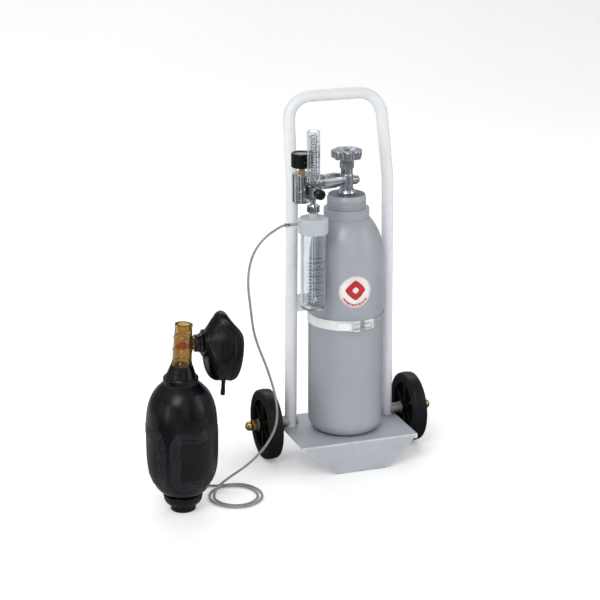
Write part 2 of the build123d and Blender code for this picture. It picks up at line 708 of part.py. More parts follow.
def flow_block():
    """The chromed block: inlet spigot at the back, needle collar in front and ports above and below."""
    low, high = BLOCK_BOTTOM, BLOCK_TOP
    block = Pos(0, 0, (low + high) / 2) * Box(BLOCK_WIDTH, BLOCK_DEPTH, high - low)
    block = chamfer(block.edges().filter_by(Axis.Z), 2.5)
    link_z = PISTON_Z + PISTON_THICK + 4
    back = -BLOCK_DEPTH / 2
    block += Pos(0, 0, link_z) * Rot(-90, 0, 0) * disc(5, 14 - FLOW_FORWARD, back + 1)
    block += Pos(0, 0, FLOW_Z) * Rot(-90, 0, 0) * disc(9.2, -back - 1, -back + 5)
    block -= Pos(0, 0, link_z) * Rot(-90, 0, 0) * disc(2, 13 - FLOW_FORWARD, 0)
    block -= disc(2, link_z, high + 1)
    block -= disc(METER_R, high - 8, high + 1)
    block -= Pos(0, 0, FLOW_Z) * Rot(-90, 0, 0) * disc(NEEDLE_R + RUNNING_GAP, 3, BLOCK_DEPTH)
    block -= Pos(0, 0, FLOW_Z) * Rot(-90, 0, 0) * disc(1.3, 0, 4)
    block -= disc(5, low - 1, low + 8)
    block -= Pos(0, 6, 0) * disc(1, low + 6, FLOW_Z)
    return at_flow(block)


def meter_tube():
    """The tapered measuring tube that the float rides in."""
    low, high = BLOCK_TOP - 8, TUBE_TOP - 10
    tube = turned((3.3, low), (METER_R, low), (METER_R, high), (4.2, high))
    return at_flow(tube)


def outer_tube():
    """The clear tube round the measuring tube, closed at the top."""
    low, high = BLOCK_TOP, TUBE_TOP
    tube = turned(
        (FLOW_TUBE_R - 2, low), (FLOW_TUBE_R, low), (FLOW_TUBE_R, high - 3), (FLOW_TUBE_R - 2, high),
        (0, high),
        (0, high - 6), (FLOW_TUBE_R - 2, high - 8))
    return at_flow(tube)


def float_ball():
    return at_flow(Pos(0, 0, BLOCK_TOP - 4.5) * Sphere(FLOAT_R))


def flow_knob():
    start = BLOCK_DEPTH / 2 + 5.4
    knob = turned(
        (0, start), (KNOB_R - 0.6, start), (KNOB_R, start + 1.5), (KNOB_R, start + 11.5),
        (KNOB_R - 1.5, start + 13), (0, start + 13))
    for k in range(18):
        knob -= Rot(0, 0, k * 20) * Pos(KNOB_R + 0.5, 0, start + 6.5) * Cylinder(1.1, 10)
    knob -= disc(NEEDLE_R + RUNNING_GAP, start - 1, start + 9)
    return at_flow(Pos(0, 0, FLOW_Z) * Rot(-90, 0, 0) * knob)


def flow_needle():
    """The needle that opens as the knob turns; its cone closes the gallery."""
    start = BLOCK_DEPTH / 2
    shaft = turned((0, 2.1), (0.5, 2.1), (NEEDLE_R, 6), (NEEDLE_R, start + 11), (0, start + 11))
    return at_flow(Pos(0, 0, FLOW_Z) * Rot(-90, 0, 0) * shaft)


def outlet_stem():
    """The threaded pipe from the block down to the humidifier."""
    pipe = ring(5, 2, LID_TOP - 4, BLOCK_BOTTOM + 8)
    return at_flow(pipe)


def star_nut():
    """The six-pointed nut that clamps the humidifier to the pipe."""
    low, high = LID_TOP + 8, LID_TOP + 24
    nut = turned((5 + RUNNING_GAP, low), (8, low), (9, low + 2), (9, high - 3), (7, high),
        (5 + RUNNING_GAP, high))
    for k in range(6):
        wing = Pos(9.2, 0, (low + high) / 2) * Box(6.4, 3.6, high - low - 5)
        nut += Rot(0, 0, k * 60) * fillet(wing.edges().filter_by(Axis.Y), 1.5)
    return at_flow(nut)


# Humidifier


def humidifier_lid():
    low, high = LID_BOTTOM, LID_TOP
    body = turned(
        (LID_R - 2.5, low), (LID_R - 1, low), (LID_R, low + 1.5), (LID_R, high - 3), (LID_R - 3, high),
        (9, high + 0.8),
        (8.5, high + 8), (5, high + 8), (5, high - 4), (DIP_R + RUNNING_GAP, high - 4),
        (DIP_R + RUNNING_GAP, high - 14), (7, high - 14),
        (7, high - 4), (JAR_R - 3, high - 5), (JAR_R - 3, JAR_TOP + 2), (JAR_R + 0.1, JAR_TOP + 2),
        (JAR_R + 0.1, low + 1), (LID_R - 2.5, low))
    for k in range(26):
        flute = Pos(LID_R + 0.9, 0, (low + high) / 2 - 2) * Cylinder(1.7, high - low - 6)
        body -= Rot(0, 0, (k + 0.5) * 360 / 26) * flute
    barb_hole = Pos(0, 0, BARB_Z) * Rot(0, -90, 0) * disc(3, JAR_R - 5, LID_R + 2)
    return at_flow(body) - barb_place(barb_hole) + outlet_barb()


def barb_place(part):
    """The part, drawn towards -X from the Z axis, moved to the humidifier's outlet."""
    centre = GROUP * Pos(REG_AT, FLOW_FORWARD, 0)
    return Pos(centre.position.X, centre.position.Y, 0) * part


def outlet_barb():
    """The outlet moulded on the lid's left side."""
    start = LID_R - 0.5
    end = start + BARB_LENGTH
    barb = turned(
        (1.2, JAR_R - 4), (3, JAR_R - 4), (3, start), (4.6, start), (4.6, start + 3), (2.6, start + 3),
        (2.6, start + 5),
        (NIPPLE_R, start + 5), (NIPPLE_R, end), (1.2, end))
    return barb_place(Pos(0, 0, BARB_Z) * Rot(0, -90, 0) * barb)


def humidifier_jar():
    low, high, r = JAR_BOTTOM, JAR_TOP, JAR_R
    jar = turned(
        (0, low + 2), (r - 6, low), (r - 2, low), (r, low + 3), (r, high), (r - JAR_WALL, high),
        (r - JAR_WALL, low + 5),
        (r - 5, low + 3), (0, low + 4))
    return at_flow(jar)


def jar_seal():
    return at_flow(ring(JAR_R - 0.2, JAR_R - 3, JAR_TOP + 0.4, JAR_TOP + 2))


def dip_tube():
    """The tube that leads the gas to the bottom of the water, with its porous cap."""
    cap = turned((0, DIP_BOTTOM - 8), (5, DIP_BOTTOM - 8), (5.5, DIP_BOTTOM - 7), (5.5, DIP_BOTTOM + 6),
        (DIP_R, DIP_BOTTOM + 6),
                 (DIP_R, DIP_BOTTOM), (0, DIP_BOTTOM))
    return at_flow(cap + ring(DIP_R, 1.6, DIP_BOTTOM, LID_TOP - 4))


# Hose


def nipple_point(reach):
    """A point on the bag's nipple axis, reach millimetres from the bag's centre line."""
    a = math.radians(NIPPLE_ANGLE)
    base = BAG.position
    return base.X + reach * math.cos(a), base.Y + reach * math.sin(a)


def coil_point(angle):
    """A point on the coil, which widens as it turns."""
    a = math.radians(angle)
    radius = COIL_R - COIL_PITCH * (COIL_END - angle) / 360
    return COIL_X + radius * math.cos(a), COIL_Y + COIL_STRETCH * radius * math.sin(a), COIL_Z


def hose_points():
    """The hose's centre line: down from the humidifier, nearly twice round a flat coil, on to the bag."""
    centre = GROUP * Pos(REG_AT, FLOW_FORWARD, 0)
    x, y = centre.position.X - LID_R - BARB_LENGTH - 0.5, centre.position.Y
    straight = [(x, y, BARB_Z), (x - 9, y, BARB_Z)]
    hang = [(-154, 30, 475), (-177, 27, 462), (-197, 24, 441), (-209, 20, 415), (-214, 15, 385),
        (-212, 9, 340), (-206, 2, 287),
            (-192, -4, 243), (-178, -9, 197), (-170, -12, 152), (-174, -14, 115), (-189, -13, 85),
            (-206, -11, 64),
            (-232, -5, 40), (-260, 3, 19), (-281, -4, 8)]
    coil = [coil_point(angle) for angle in range(COIL_START, COIL_END + 1, 45)]
    tail = [(-296, 21, COIL_Z), (-313, 20, 8)]
    landing = [(*nipple_point(NIPPLE_END + reach), NIPPLE_Z) for reach in (11, 1)]
    return straight + hang + coil + tail + landing


def oxygen_hose():
    return rod_along(Spline(*hose_points()), HOSE_R)


def hose_cuff():
    """A clear sleeve that joins the hose's end to a nipple; drawn up the Z axis from the nipple's root."""
    bore = HOSE_R + SLEEVE_GAP
    return turned(
        (NIPPLE_R + RUNNING_GAP, 0), (4.2, 0), (4.4, 2), (4.4, SLEEVE_LENGTH - 1), (3.6, SLEEVE_LENGTH),
        (bore, SLEEVE_LENGTH),
        (bore, SLEEVE_REACH), (NIPPLE_R + RUNNING_GAP, SLEEVE_REACH))


def hose_cuffs():
    at_lid = barb_place(Pos(0, 0, BARB_Z) * Rot(0, -90, 0) * Pos(0, 0, LID_R - 0.5 + 6) * hose_cuff())
    at_bag = bag_inlet_point(Pos(0, 0, BAG_COLLAR_R + 6) * hose_cuff())
    return at_lid + at_bag


# Resuscitation bag


def bag_inlet_point(part):
    """The part, drawn up the Z axis, laid on the bag's nipple line."""
    return BAG * Rot(0, 0, NIPPLE_ANGLE) * Pos(0, 0, NIPPLE_Z) * Rot(0, 90, 0) * part


def resuscitator_bag():
    """The rubber bag: an egg-shaped skin with an open neck at each end."""
    outer = Spline((BAG_COLLAR_R - 3, 33), (52, 56), (62, 88), (BAG_R, 130), (61.5, 180), (51, 217),
        (31, 240))
    inner = Spline((28.5, 240), (48, 215), (58.3, 179), (BAG_R - 3, 130), (59, 89), (49, 58),
        (BAG_COLLAR_R - 6, 35))
    skin = turned_edges(outer, Line(outer @ 1, inner @ 0), inner, Line(inner @ 1, outer @ 0))
    return BAG * skin


def inlet_housing():
    """The stepped housing under the bag: it feeds the bag and is the foot the bag stands on."""
    r = BAG_COLLAR_R
    body = turned(
        (18, 0), (21, 0), (22.5, 1.5), (22.5, 11), (27, 12.5), (31.5, 16.5), (34, 22), (r, 30), (r - 2, 32),
        (r - 6, 34),
        (26, 34), (26, 30), (r - 4, 28), (r - 5.5, 22), (25, 16), (18, 14))
    nipple = turned(
        (0, r - 4), (3, r - 4), (3, r), (4.5, r + 0.3), (4.5, r + 3), (2.4, r + 3), (2.4, r + 5),
        (NIPPLE_R, r + 5),
        (NIPPLE_R, NIPPLE_END), (0, NIPPLE_END))
    return BAG * body + bag_inlet_point(nipple) - bag_inlet_point(disc(1, r - 9, NIPPLE_END + 1))


def bag_neck_ring():
    """The rubber neck ring: an upright band on the bag and a leaning cone that grips the patient valve."""
    band = turned((26, 238.5), (28.3, 238.5), (28.3, 240.2), (30.6, 240.2), (31, 241), (31, 249),
        (29.5, 251), (26, 251))
    cone = turned((24, 247), (28.5, 247), (19.6, PATIENT_Z - 1), (16.6, PATIENT_Z - 1), (16.6, 256))
    return BAG * band + LEANING * cone


def patient_valve():
    """The clear housing with a side port for the mask and an open top for breathing out."""
    low, r, top = PATIENT_Z, PATIENT_R, PATIENT_TOP
    body = turned(
        (13, low - 12), (16.55, low - 12), (16.55, low - 0.5), (r, low - 0.5), (r, low + 5),
        (r - 1, low + 7), (r - 1.4, low + 23),
        (r - 0.6, low + 25), (r - 0.6, low + 28), (r - 1.6, low + 30), (r - 2, low + 46),
        (r - 1.2, low + 48), (r - 1.2, low + 51),
        (r - 2.4, low + 53), (r - 3, top - 6), (r - 2.4, top - 4), (r - 2.4, top), (PORT_R, top),
        (PORT_R, top - 12),
        (r - 5, top - 14), (r - 4, low + 44), (r - 3.5, low + 4), (13, low))
    side = Pos(0, 0, MASK_Z) * Rot(0, 90, 0)
    body += side * ring(11.5, 9, r - 3.4, SIDE_PORT_END)
    body -= side * disc(9, 0, SIDE_PORT_END + 1)
    return LEANING * body


def duckbill():
    """The red lip valve inside the housing."""
    z = MASK_Z - 6
    return LEANING * turned((0, z + 12), (3, z + 12), (6, z + 3), (13.4, z + 1.5), (13.4, z), (5, z),
        (2, z + 9), (0, z + 10))


def mask_swivel():
    """The ridged swivel between the valve's side port and the mask."""
    start = SIDE_PORT_END + 0.3
    body = turned(
        (7.5, start - 5), (9 - RUNNING_GAP, start - 5), (9 - RUNNING_GAP, start), (14.5, start),
        (15.5, start + 1.5), (15.5, start + 4),
        (14, start + 5), (14, start + 7), (16.5, start + 8), (16.5, start + 12), (12, start + 14),
        (12, start + 20), (7.5, start + 20))
    return LEANING * Pos(0, 0, MASK_Z) * Rot(0, 90, 0) * body


def mask_outline(scale):
    """The mask's face outline in (across, up): wide at the chin, narrow at the nose."""
    points = [(0, 62), (22, 44), (39, 8), (44, -28), (30, -56), (0, -63), (-30, -56), (-44, -28), (-39, 8),
        (-22, 44)]
    return Spline(*[(a * scale, b * scale) for a, b in points], periodic=True)


def mask_section(scale, along, lift):
    """One closed section of the mask, standing across the mask's axis."""
    plane = Plane((along, 0, MASK_CENTRE_Z + lift), x_dir=(0, 1, 0), z_dir=(1, 0, 0))
    return plane * make_face(mask_outline(scale))


def mask_dome():
    """The hollow rubber dome from the swivel to the cushion's edge."""
    start, depth = MASK_START, MASK_DEPTH - 20
    lift = MASK_Z - MASK_CENTRE_Z
    neck = Plane((start + 3, 0, MASK_Z), x_dir=(0, 1, 0), z_dir=(1, 0, 0)) * Circle(24)
    outer = loft([neck, mask_section(0.76, start + 14, lift * 0.5), mask_section(0.97, start + depth, 0)])
    collar = Pos(0, 0, MASK_Z) * Rot(0, 90, 0) * disc(24, start, start + 3.5)
    neck_in = Plane((start + 6, 0, MASK_Z), x_dir=(0, 1, 0), z_dir=(1, 0, 0)) * Circle(20)
    inner = loft([neck_in, mask_section(0.68, start + 16, lift * 0.5),
        mask_section(0.90, start + depth + 1, 0)])
    bore = Pos(0, 0, MASK_Z) * Rot(0, 90, 0) * disc(12, start - 1, start + 8)
    return LEANING * (outer + collar - inner - bore)


def mask_cushion():
    """The inflated rim that seals on the face; a closed ring with the face opening left free."""
    start = MASK_START + MASK_DEPTH - 19.6
    outer = [mask_section(0.97, start, 0), mask_section(1.0, start + 9, 0),
        mask_section(0.93, start + 18, 0)]
    inner = [mask_section(0.80, start - 1, 0), mask_section(0.74, start + 9, 0),
        mask_section(0.80, start + 19, 0)]
    return LEANING * (loft(outer) + inflation_tube() - loft(inner))


def inflation_tube():
    """The short tube and plug that fill the cushion, hanging from its lower edge."""
    x = MASK_START + MASK_DEPTH - 13
    return Pos(x, 0, 0) * (disc(3.2, MASK_CENTRE_Z - 84, MASK_CENTRE_Z - 58)
        + disc(4.2, MASK_CENTRE_Z - 92, MASK_CENTRE_Z - 84))


PARTS = {
    "frame_tube": frame_tube, "base_plate": base_plate, "rear_cradle": rear_cradle, "stub_axles": stub_axles,
    "axle_spacers": axle_spacers, "washers": washers, "cap_nuts": cap_nuts,
    "wheel_hub_right": wheel_hub, "tyre_right": tyre,
    "wheel_hub_left": lambda: left(wheel_hub()), "tyre_left": lambda: left(tyre()),
    "clamp_band": clamp_band, "latch_base": latch_base, "latch_lever": latch_lever, "wire_bail": wire_bail,
    "cylinder_shell": cylinder_shell, "neck_ring": neck_ring, "cylinder_label": cylinder_label,
    "valve_body": valve_body, "safety_plug": safety_plug, "valve_gland": valve_gland,
    "valve_spindle": valve_spindle,
    "valve_plug": valve_plug, "handwheel": handwheel,
    "inlet_nut": inlet_nut, "inlet_stem": inlet_stem, "inlet_seal": inlet_seal,
    "regulator_body": regulator_body, "regulator_cap": regulator_cap, "regulator_piston": regulator_piston,
    "regulator_spring": regulator_spring,
    "gauge_stem": gauge_stem, "gauge_case": gauge_case, "gauge_boot": gauge_boot, "gauge_dial": gauge_dial,
    "gauge_pointer": gauge_pointer, "gauge_tube": gauge_tube, "gauge_window": gauge_window,
    "flow_block": flow_block, "meter_tube": meter_tube, "outer_tube": outer_tube, "float_ball": float_ball,
    "flow_knob": flow_knob, "flow_needle": flow_needle, "outlet_stem": outlet_stem, "star_nut": star_nut,
    "humidifier_lid": humidifier_lid, "humidifier_jar": humidifier_jar, "jar_seal": jar_seal,
    "dip_tube": dip_tube,
    "oxygen_hose": oxygen_hose, "hose_cuffs": hose_cuffs,
    "resuscitator_bag": resuscitator_bag, "inlet_housing": inlet_housing, "bag_neck_ring": bag_neck_ring,
    "patient_valve": patient_valve, "duckbill": duckbill, "mask_swivel": mask_swivel, "mask_dome": mask_dome,
    "mask_cushion": mask_cushion,
}

os.makedirs("parts", exist_ok=True)
for node, make in PARTS.items():
    export_step(make(), f"parts/{node}.step")
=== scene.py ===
import json
import math

import bmesh
import bpy
import numpy as np
from mathutils import Matrix, Vector


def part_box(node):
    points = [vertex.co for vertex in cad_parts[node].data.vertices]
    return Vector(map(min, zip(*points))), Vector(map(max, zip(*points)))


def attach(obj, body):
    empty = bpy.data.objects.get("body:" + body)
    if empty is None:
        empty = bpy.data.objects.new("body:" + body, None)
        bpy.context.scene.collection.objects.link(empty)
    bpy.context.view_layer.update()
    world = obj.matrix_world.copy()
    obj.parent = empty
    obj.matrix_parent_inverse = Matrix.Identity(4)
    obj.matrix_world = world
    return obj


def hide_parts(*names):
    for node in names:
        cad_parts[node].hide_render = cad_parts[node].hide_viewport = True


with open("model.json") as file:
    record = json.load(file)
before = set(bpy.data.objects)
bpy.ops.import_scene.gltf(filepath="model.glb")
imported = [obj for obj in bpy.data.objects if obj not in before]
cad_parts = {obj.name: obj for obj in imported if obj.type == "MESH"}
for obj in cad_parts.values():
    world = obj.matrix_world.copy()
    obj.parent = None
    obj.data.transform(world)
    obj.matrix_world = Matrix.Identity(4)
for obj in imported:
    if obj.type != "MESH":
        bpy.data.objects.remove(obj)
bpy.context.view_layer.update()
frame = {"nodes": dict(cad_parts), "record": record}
NODES = frame["nodes"]
MM = 0.001


def middle(node):
    """The centre of a CAD node's box."""
    low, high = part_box(node)
    return (low + high) / 2


def half_width(node):
    """Half of a CAD node's size along X."""
    low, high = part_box(node)
    return (high.x - low.x) / 2


# Places taken from the frame, in metres
CYL = middle("cylinder_shell")
CYL_R = half_width("cylinder_shell")
FLOW = middle("outer_tube")
FLOW_R = half_width("outer_tube")
JAR = middle("humidifier_jar")
JAR_R = half_width("humidifier_jar")
GAUGE = middle("gauge_dial")
BAG = middle("resuscitator_bag")
LEAN, LEAN_Z = math.radians(4), 0.238
FOLD_Y = CYL.y - 0.0838


# Shader helpers


def add_node(tree, kind, inputs=None, **settings):
    """A new shader node; each input is given as a socket to link or as a plain value."""
    made = tree.nodes.new(kind)
    for key, value in settings.items():
        setattr(made, key, value)
    for key, value in (inputs or {}).items():
        if isinstance(value, bpy.types.NodeSocket):
            tree.links.new(value, made.inputs[key])
        else:
            made.inputs[key].default_value = value
    return made


class Shader:
    """A procedural material: a Principled shader with helpers that add the nodes feeding it."""

    def __init__(self, name, color, roughness, metallic=0.0):
        self.material = bpy.data.materials.new(name)
        self.material.use_nodes = True
        self.tree = self.material.node_tree
        self.bsdf = self.tree.nodes["Principled BSDF"]
        self.set("Base Color", (*color, 1))
        self.set("Roughness", roughness)
        self.set("Metallic", metallic)
        self.material.diffuse_color = (*color, 1)
        self.place = self.node("ShaderNodeTexCoord").outputs["Object"]

    def set(self, socket, value):
        self.bsdf.inputs[socket].default_value = value

    def link(self, source, target):
        self.tree.links.new(source, target)

    def node(self, kind, inputs=None, **settings):
        return add_node(self.tree, kind, inputs, **settings)

    def stretched(self, scale):
        """Object coordinates scaled per axis."""
        return self.node("ShaderNodeMapping", {"Vector": self.place, "Scale": scale}).outputs[0]

    def axis(self, letter, place=None):
        """One coordinate of the surface point, or of another vector."""
        return self.node("ShaderNodeSeparateXYZ", {0: place or self.place}).outputs[letter]

    def noise(self, scale, detail=4.0, roughness=0.55, place=None):
        inputs = {"Vector": place or self.place, "Scale": scale, "Detail": detail, "Roughness": roughness}
        return self.node("ShaderNodeTexNoise", inputs).outputs["Fac"]

    def span(self, value, low, high, to_low=0.0, to_high=1.0):
        """The value mapped from low..high to another range, and kept inside it."""
        inputs = {"Value": value, "From Min": low, "From Max": high, "To Min": to_low, "To Max": to_high}
        return self.node("ShaderNodeMapRange", inputs).outputs["Result"]

    def math(self, operation, a, b=0.0):
        return self.node("ShaderNodeMath", {0: a, 1: b}, operation=operation).outputs[0]

    def mix(self, factor, a, b):
        """A colour mixed from a to b."""
        plain = (bpy.types.NodeSocket, int, float)
        values = [value if isinstance(value, plain) else (*value, 1) for value in (factor, a, b)]
        return self.node("ShaderNodeMix", dict(zip((0, 6, 7), values)), data_type="RGBA").outputs[2]

    def color(self, socket):
        self.link(socket, self.bsdf.inputs["Base Color"])

    def rough(self, socket):
        self.link(socket, self.bsdf.inputs["Roughness"])

    def bump(self, height, strength, distance, normal=None):
        inputs = {"Height": height, "Strength": strength, "Distance": distance}
        if normal is not None:
            inputs["Normal"] = normal
        out = self.node("ShaderNodeBump", inputs).outputs["Normal"]
        self.link(out, self.bsdf.inputs["Normal"])
        return out

    def rounded(self, radius):
        """Normals with small round-overs on hard edges."""
        return self.node("ShaderNodeBevel", {"Radius": radius}, samples=4).outputs["Normal"]

    def edges(self, radius, low=0.55, high=0.98):
        """A mask that is 1 along hard edges and 0 on flats."""
        soft = self.rounded(radius)
        true = self.node("ShaderNodeNewGeometry").outputs["Normal"]
        dot = self.node("ShaderNodeVectorMath", {0: soft, 1: true}, operation="DOT_PRODUCT").outputs["Value"]
        return self.span(dot, high, low, 0, 1)

    def painted(self):
        """The colour now feeding the shader."""
        return self.bsdf.inputs["Base Color"].links[0].from_socket


def shade(value, by):
    """A colour made lighter or darker."""
    return tuple(min(1.0, max(0.0, c * by)) for c in value)


# Materials


def enamel(name, color, roughness=0.32, peel=0.10, chips=0.5, under=(0.22, 0.21, 0.20)):
    """Sprayed enamel: faint orange peel, uneven tone, small specks and worn edges."""
    s = Shader(name, color, roughness)
    base = s.mix(s.span(s.noise(9, 3), 0.3, 0.7), shade(color, 0.94), shade(color, 1.04))
    speck = s.span(s.noise(420, 2), 0.72, 0.80, 0, 0.3)
    base = s.mix(speck, base, shade(color, 0.72))
    low_dirt = s.math("MULTIPLY", s.span(s.axis("Z"), 0.09, 0.0), s.span(s.noise(45, 5), 0.40, 0.70, 0, 0.35))
    base = s.mix(low_dirt, base, (0.30, 0.28, 0.25))
    wear = s.math("MULTIPLY", s.edges(0.0010), s.span(s.noise(160, 5), 0.52, 0.64, 0, chips))
    s.color(s.mix(wear, base, under))
    s.rough(s.span(s.noise(60, 5), 0.3, 0.7, roughness * 0.82, roughness * 1.25))
    s.set("Coat Weight", 0.25)
    s.set("Coat Roughness", 0.10)
    s.bump(s.noise(650, 2), peel, 0.0004, s.rounded(0.0006))
    return s


def machined(name, color, roughness, grain=(30, 30, 900), scratch=0.12, dull=0.3):
    """Bare or plated metal with fine directional grain, smudges and brighter edges."""
    s = Shader(name, color, roughness, 1.0)
    lines = s.noise(1.0, 3, 0.6, s.stretched(grain))
    smudge = s.noise(70, 5, 0.6)
    base = s.mix(s.span(smudge, 0.35, 0.7), color, shade(color, 1 - dull))
    s.color(s.mix(s.math("MULTIPLY", s.edges(0.0008), 0.5), base, shade(color, 1.3)))
    worn = s.span(smudge, 0.3, 0.75, roughness * 0.7, roughness * 1.5)
    s.rough(s.math("ADD", worn, s.span(lines, 0.3, 0.7, 0, roughness * 0.3)))
    s.bump(lines, scratch, 0.0002, s.rounded(0.0004))
    return s


def cast_metal(name, color, roughness, pit=0.6):
    """Fine-grained cast metal, polished on its high edges."""
    s = Shader(name, color, roughness, 1.0)
    grain = s.noise(700, 4, 0.7)
    pits = s.span(s.noise(240, 3), 0.55, 0.72)
    base = s.mix(pits, color, shade(color, pit))
    s.color(s.mix(s.edges(0.0015), base, shade(color, 1.6)))
    s.rough(s.span(grain, 0.3, 0.7, roughness * 0.8, roughness * 1.3))
    s.bump(grain, 0.3, 0.0005, s.rounded(0.0012))
    return s


def rubber(name, color, roughness=0.5, grain=900, dust=0.25, gloss=0.3, uneven=0.2, crest_highlight=0.0):
    """Moulded rubber: fine grain, a thin bloom of dust, and a painted highlight lightening the sharpest
    crests.
    """
    s = Shader(name, color, roughness)
    bloom = s.span(s.noise(26, 6, 0.6), 0.45, 0.80, 0, dust)
    base = s.mix(bloom, color, (0.022, 0.023, 0.026))
    wear = s.math("MULTIPLY", s.edges(0.0014), 0.3)
    base = s.mix(wear, base, (0.03, 0.03, 0.034))
    # Painted highlight: crests found by pointiness are lightened as if catching the light.
    ridge_highlight = s.span(s.node("ShaderNodeNewGeometry").outputs["Pointiness"], 0.515, 0.56, 0, crest_highlight)
    s.color(s.mix(ridge_highlight, base, (0.10, 0.105, 0.12)))
    s.rough(s.span(s.noise(80, 5), 0.3, 0.7, roughness * (1 - uneven), roughness * (1 + uneven)))
    s.set("Specular IOR Level", gloss)
    s.bump(s.noise(grain, 3, 0.6), 0.10, 0.0003, s.rounded(0.0008))
    return s


def moulded(name, color, roughness=0.4, grain=1500, depth=0.08, coat=0.0, gloss=0.5):
    """Injection-moulded plastic with a fine spark-eroded texture."""
    s = Shader(name, color, roughness)
    s.color(s.mix(s.span(s.noise(40, 3), 0.3, 0.7), shade(color, 0.88), shade(color, 1.12)))
    s.rough(s.span(s.noise(120, 4), 0.3, 0.7, roughness * 0.8, roughness * 1.2))
    s.set("Coat Weight", coat)
    s.set("Specular IOR Level", gloss)
    s.bump(s.noise(grain, 2), depth, 0.0002, s.rounded(0.0005))
    return s


def clear(name, color, roughness=0.03, ior=1.46, transmission=1.0):
    """Clear moulded plastic with flow lines, faint haze and fine scratches."""
    s = Shader(name, color, roughness)
    s.set("IOR", ior)
    s.set("Transmission Weight", transmission)
    flow = s.noise(1.0, 3, 0.5, s.stretched((60, 60, 14)))
    marks = s.span(s.noise(1.0, 4, 0.7, s.stretched((900, 900, 90))), 0.62, 0.74, 0, 0.10)
    s.rough(s.math("ADD", marks, roughness))
    s.color(s.mix(s.span(s.noise(30, 3), 0.3, 0.7), color, shade(color, 0.94)))
    s.bump(flow, 0.05, 0.0006)
    return s


def translucent(name, color, roughness, transmission, radius=0.004):
    """Milky plastic that lets some light through."""
    s = Shader(name, color, roughness)
    s.set("Transmission Weight", transmission)
    s.set("Subsurface Weight", 0.25)
    s.set("Subsurface Radius", (radius, radius, radius))
    s.set("Subsurface Scale", 1.0)
    s.color(s.mix(s.span(s.noise(90, 4), 0.3, 0.7), shade(color, 0.93), shade(color, 1.04)))
    s.rough(s.span(s.noise(200, 3), 0.3, 0.7, roughness * 0.8, roughness * 1.3))
    s.bump(s.noise(500, 3), 0.02, 0.0003, s.rounded(0.0005))
    return s


def cylinder_enamel():
    """The cylinder's grey enamel, with a dark oiled face on the top of the neck."""
    s = enamel("cylinder_enamel", (0.345, 0.365, 0.405), 0.38, 0.08, 0.25)
    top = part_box("neck_ring")[1].z
    up = s.axis("Z", s.node("ShaderNodeNewGeometry").outputs["Normal"])
    face = s.math("MULTIPLY", s.span(s.axis("Z"), top - 0.001, top - 0.0006), s.span(up, 0.85, 0.95))
    s.color(s.mix(face, s.painted(), (0.05, 0.055, 0.065)))
    return s


def band_enamel():
    """White enamel with painted shade: from a little right of the band's middle, near the wire loop's hook,
    the band is painted grey as if turned away from the light.
    """
    s = enamel("band_enamel", (0.86, 0.88, 0.89), 0.30, 0.10, 0.5)
    # Painted shade: grey over the band's right part, with a noisy border.
    painted_light_mask = s.span(s.math("ADD", s.axis("X"), s.span(s.noise(60, 4), 0, 1, -0.006, 0.006)), 0.024, 0.034)
    s.color(s.mix(painted_light_mask, s.painted(), (0.34, 0.36, 0.39)))
    return s


def plate_enamel():
    """Blue-grey enamel with painted highlights along the fold and the cut edges."""
    s = enamel("plate_enamel", (0.44, 0.47, 0.52), 0.36, 0.14, 0.3)
    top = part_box("base_plate")[1].z
    # Painted highlight: a light line along the front fold and on the cut edges, patchy by noise.
    off_fold = s.math("ABSOLUTE", s.math("SUBTRACT", s.axis("Y"), FOLD_Y + 0.0006))
    fold = s.math("MULTIPLY", s.span(off_fold, 0.0022, 0.0008), s.span(s.axis("Z"), top - 0.006, top - 0.004))
    painted_light_mask = s.math("MAXIMUM", s.edges(0.0022, 0.70, 0.995), fold)
    amount = s.math("MULTIPLY", painted_light_mask, s.span(s.noise(90, 4), 0.3, 0.6, 0.4, 0.85))
    s.color(s.mix(amount, s.painted(), (0.78, 0.80, 0.82)))
    return s


def amber():
    """Amber plastic: clear in the middle and dark where the wall is seen edge on."""
    s = clear("amber_plastic", (0.61, 0.43, 0.16), 0.04, 1.46, 0.96)
    edge = s.span(s.node("ShaderNodeLayerWeight", {"Blend": 0.5}).outputs["Facing"], 0.42, 0.88)
    s.color(s.mix(edge, s.painted(), (0.05, 0.03, 0.012)))
    return s


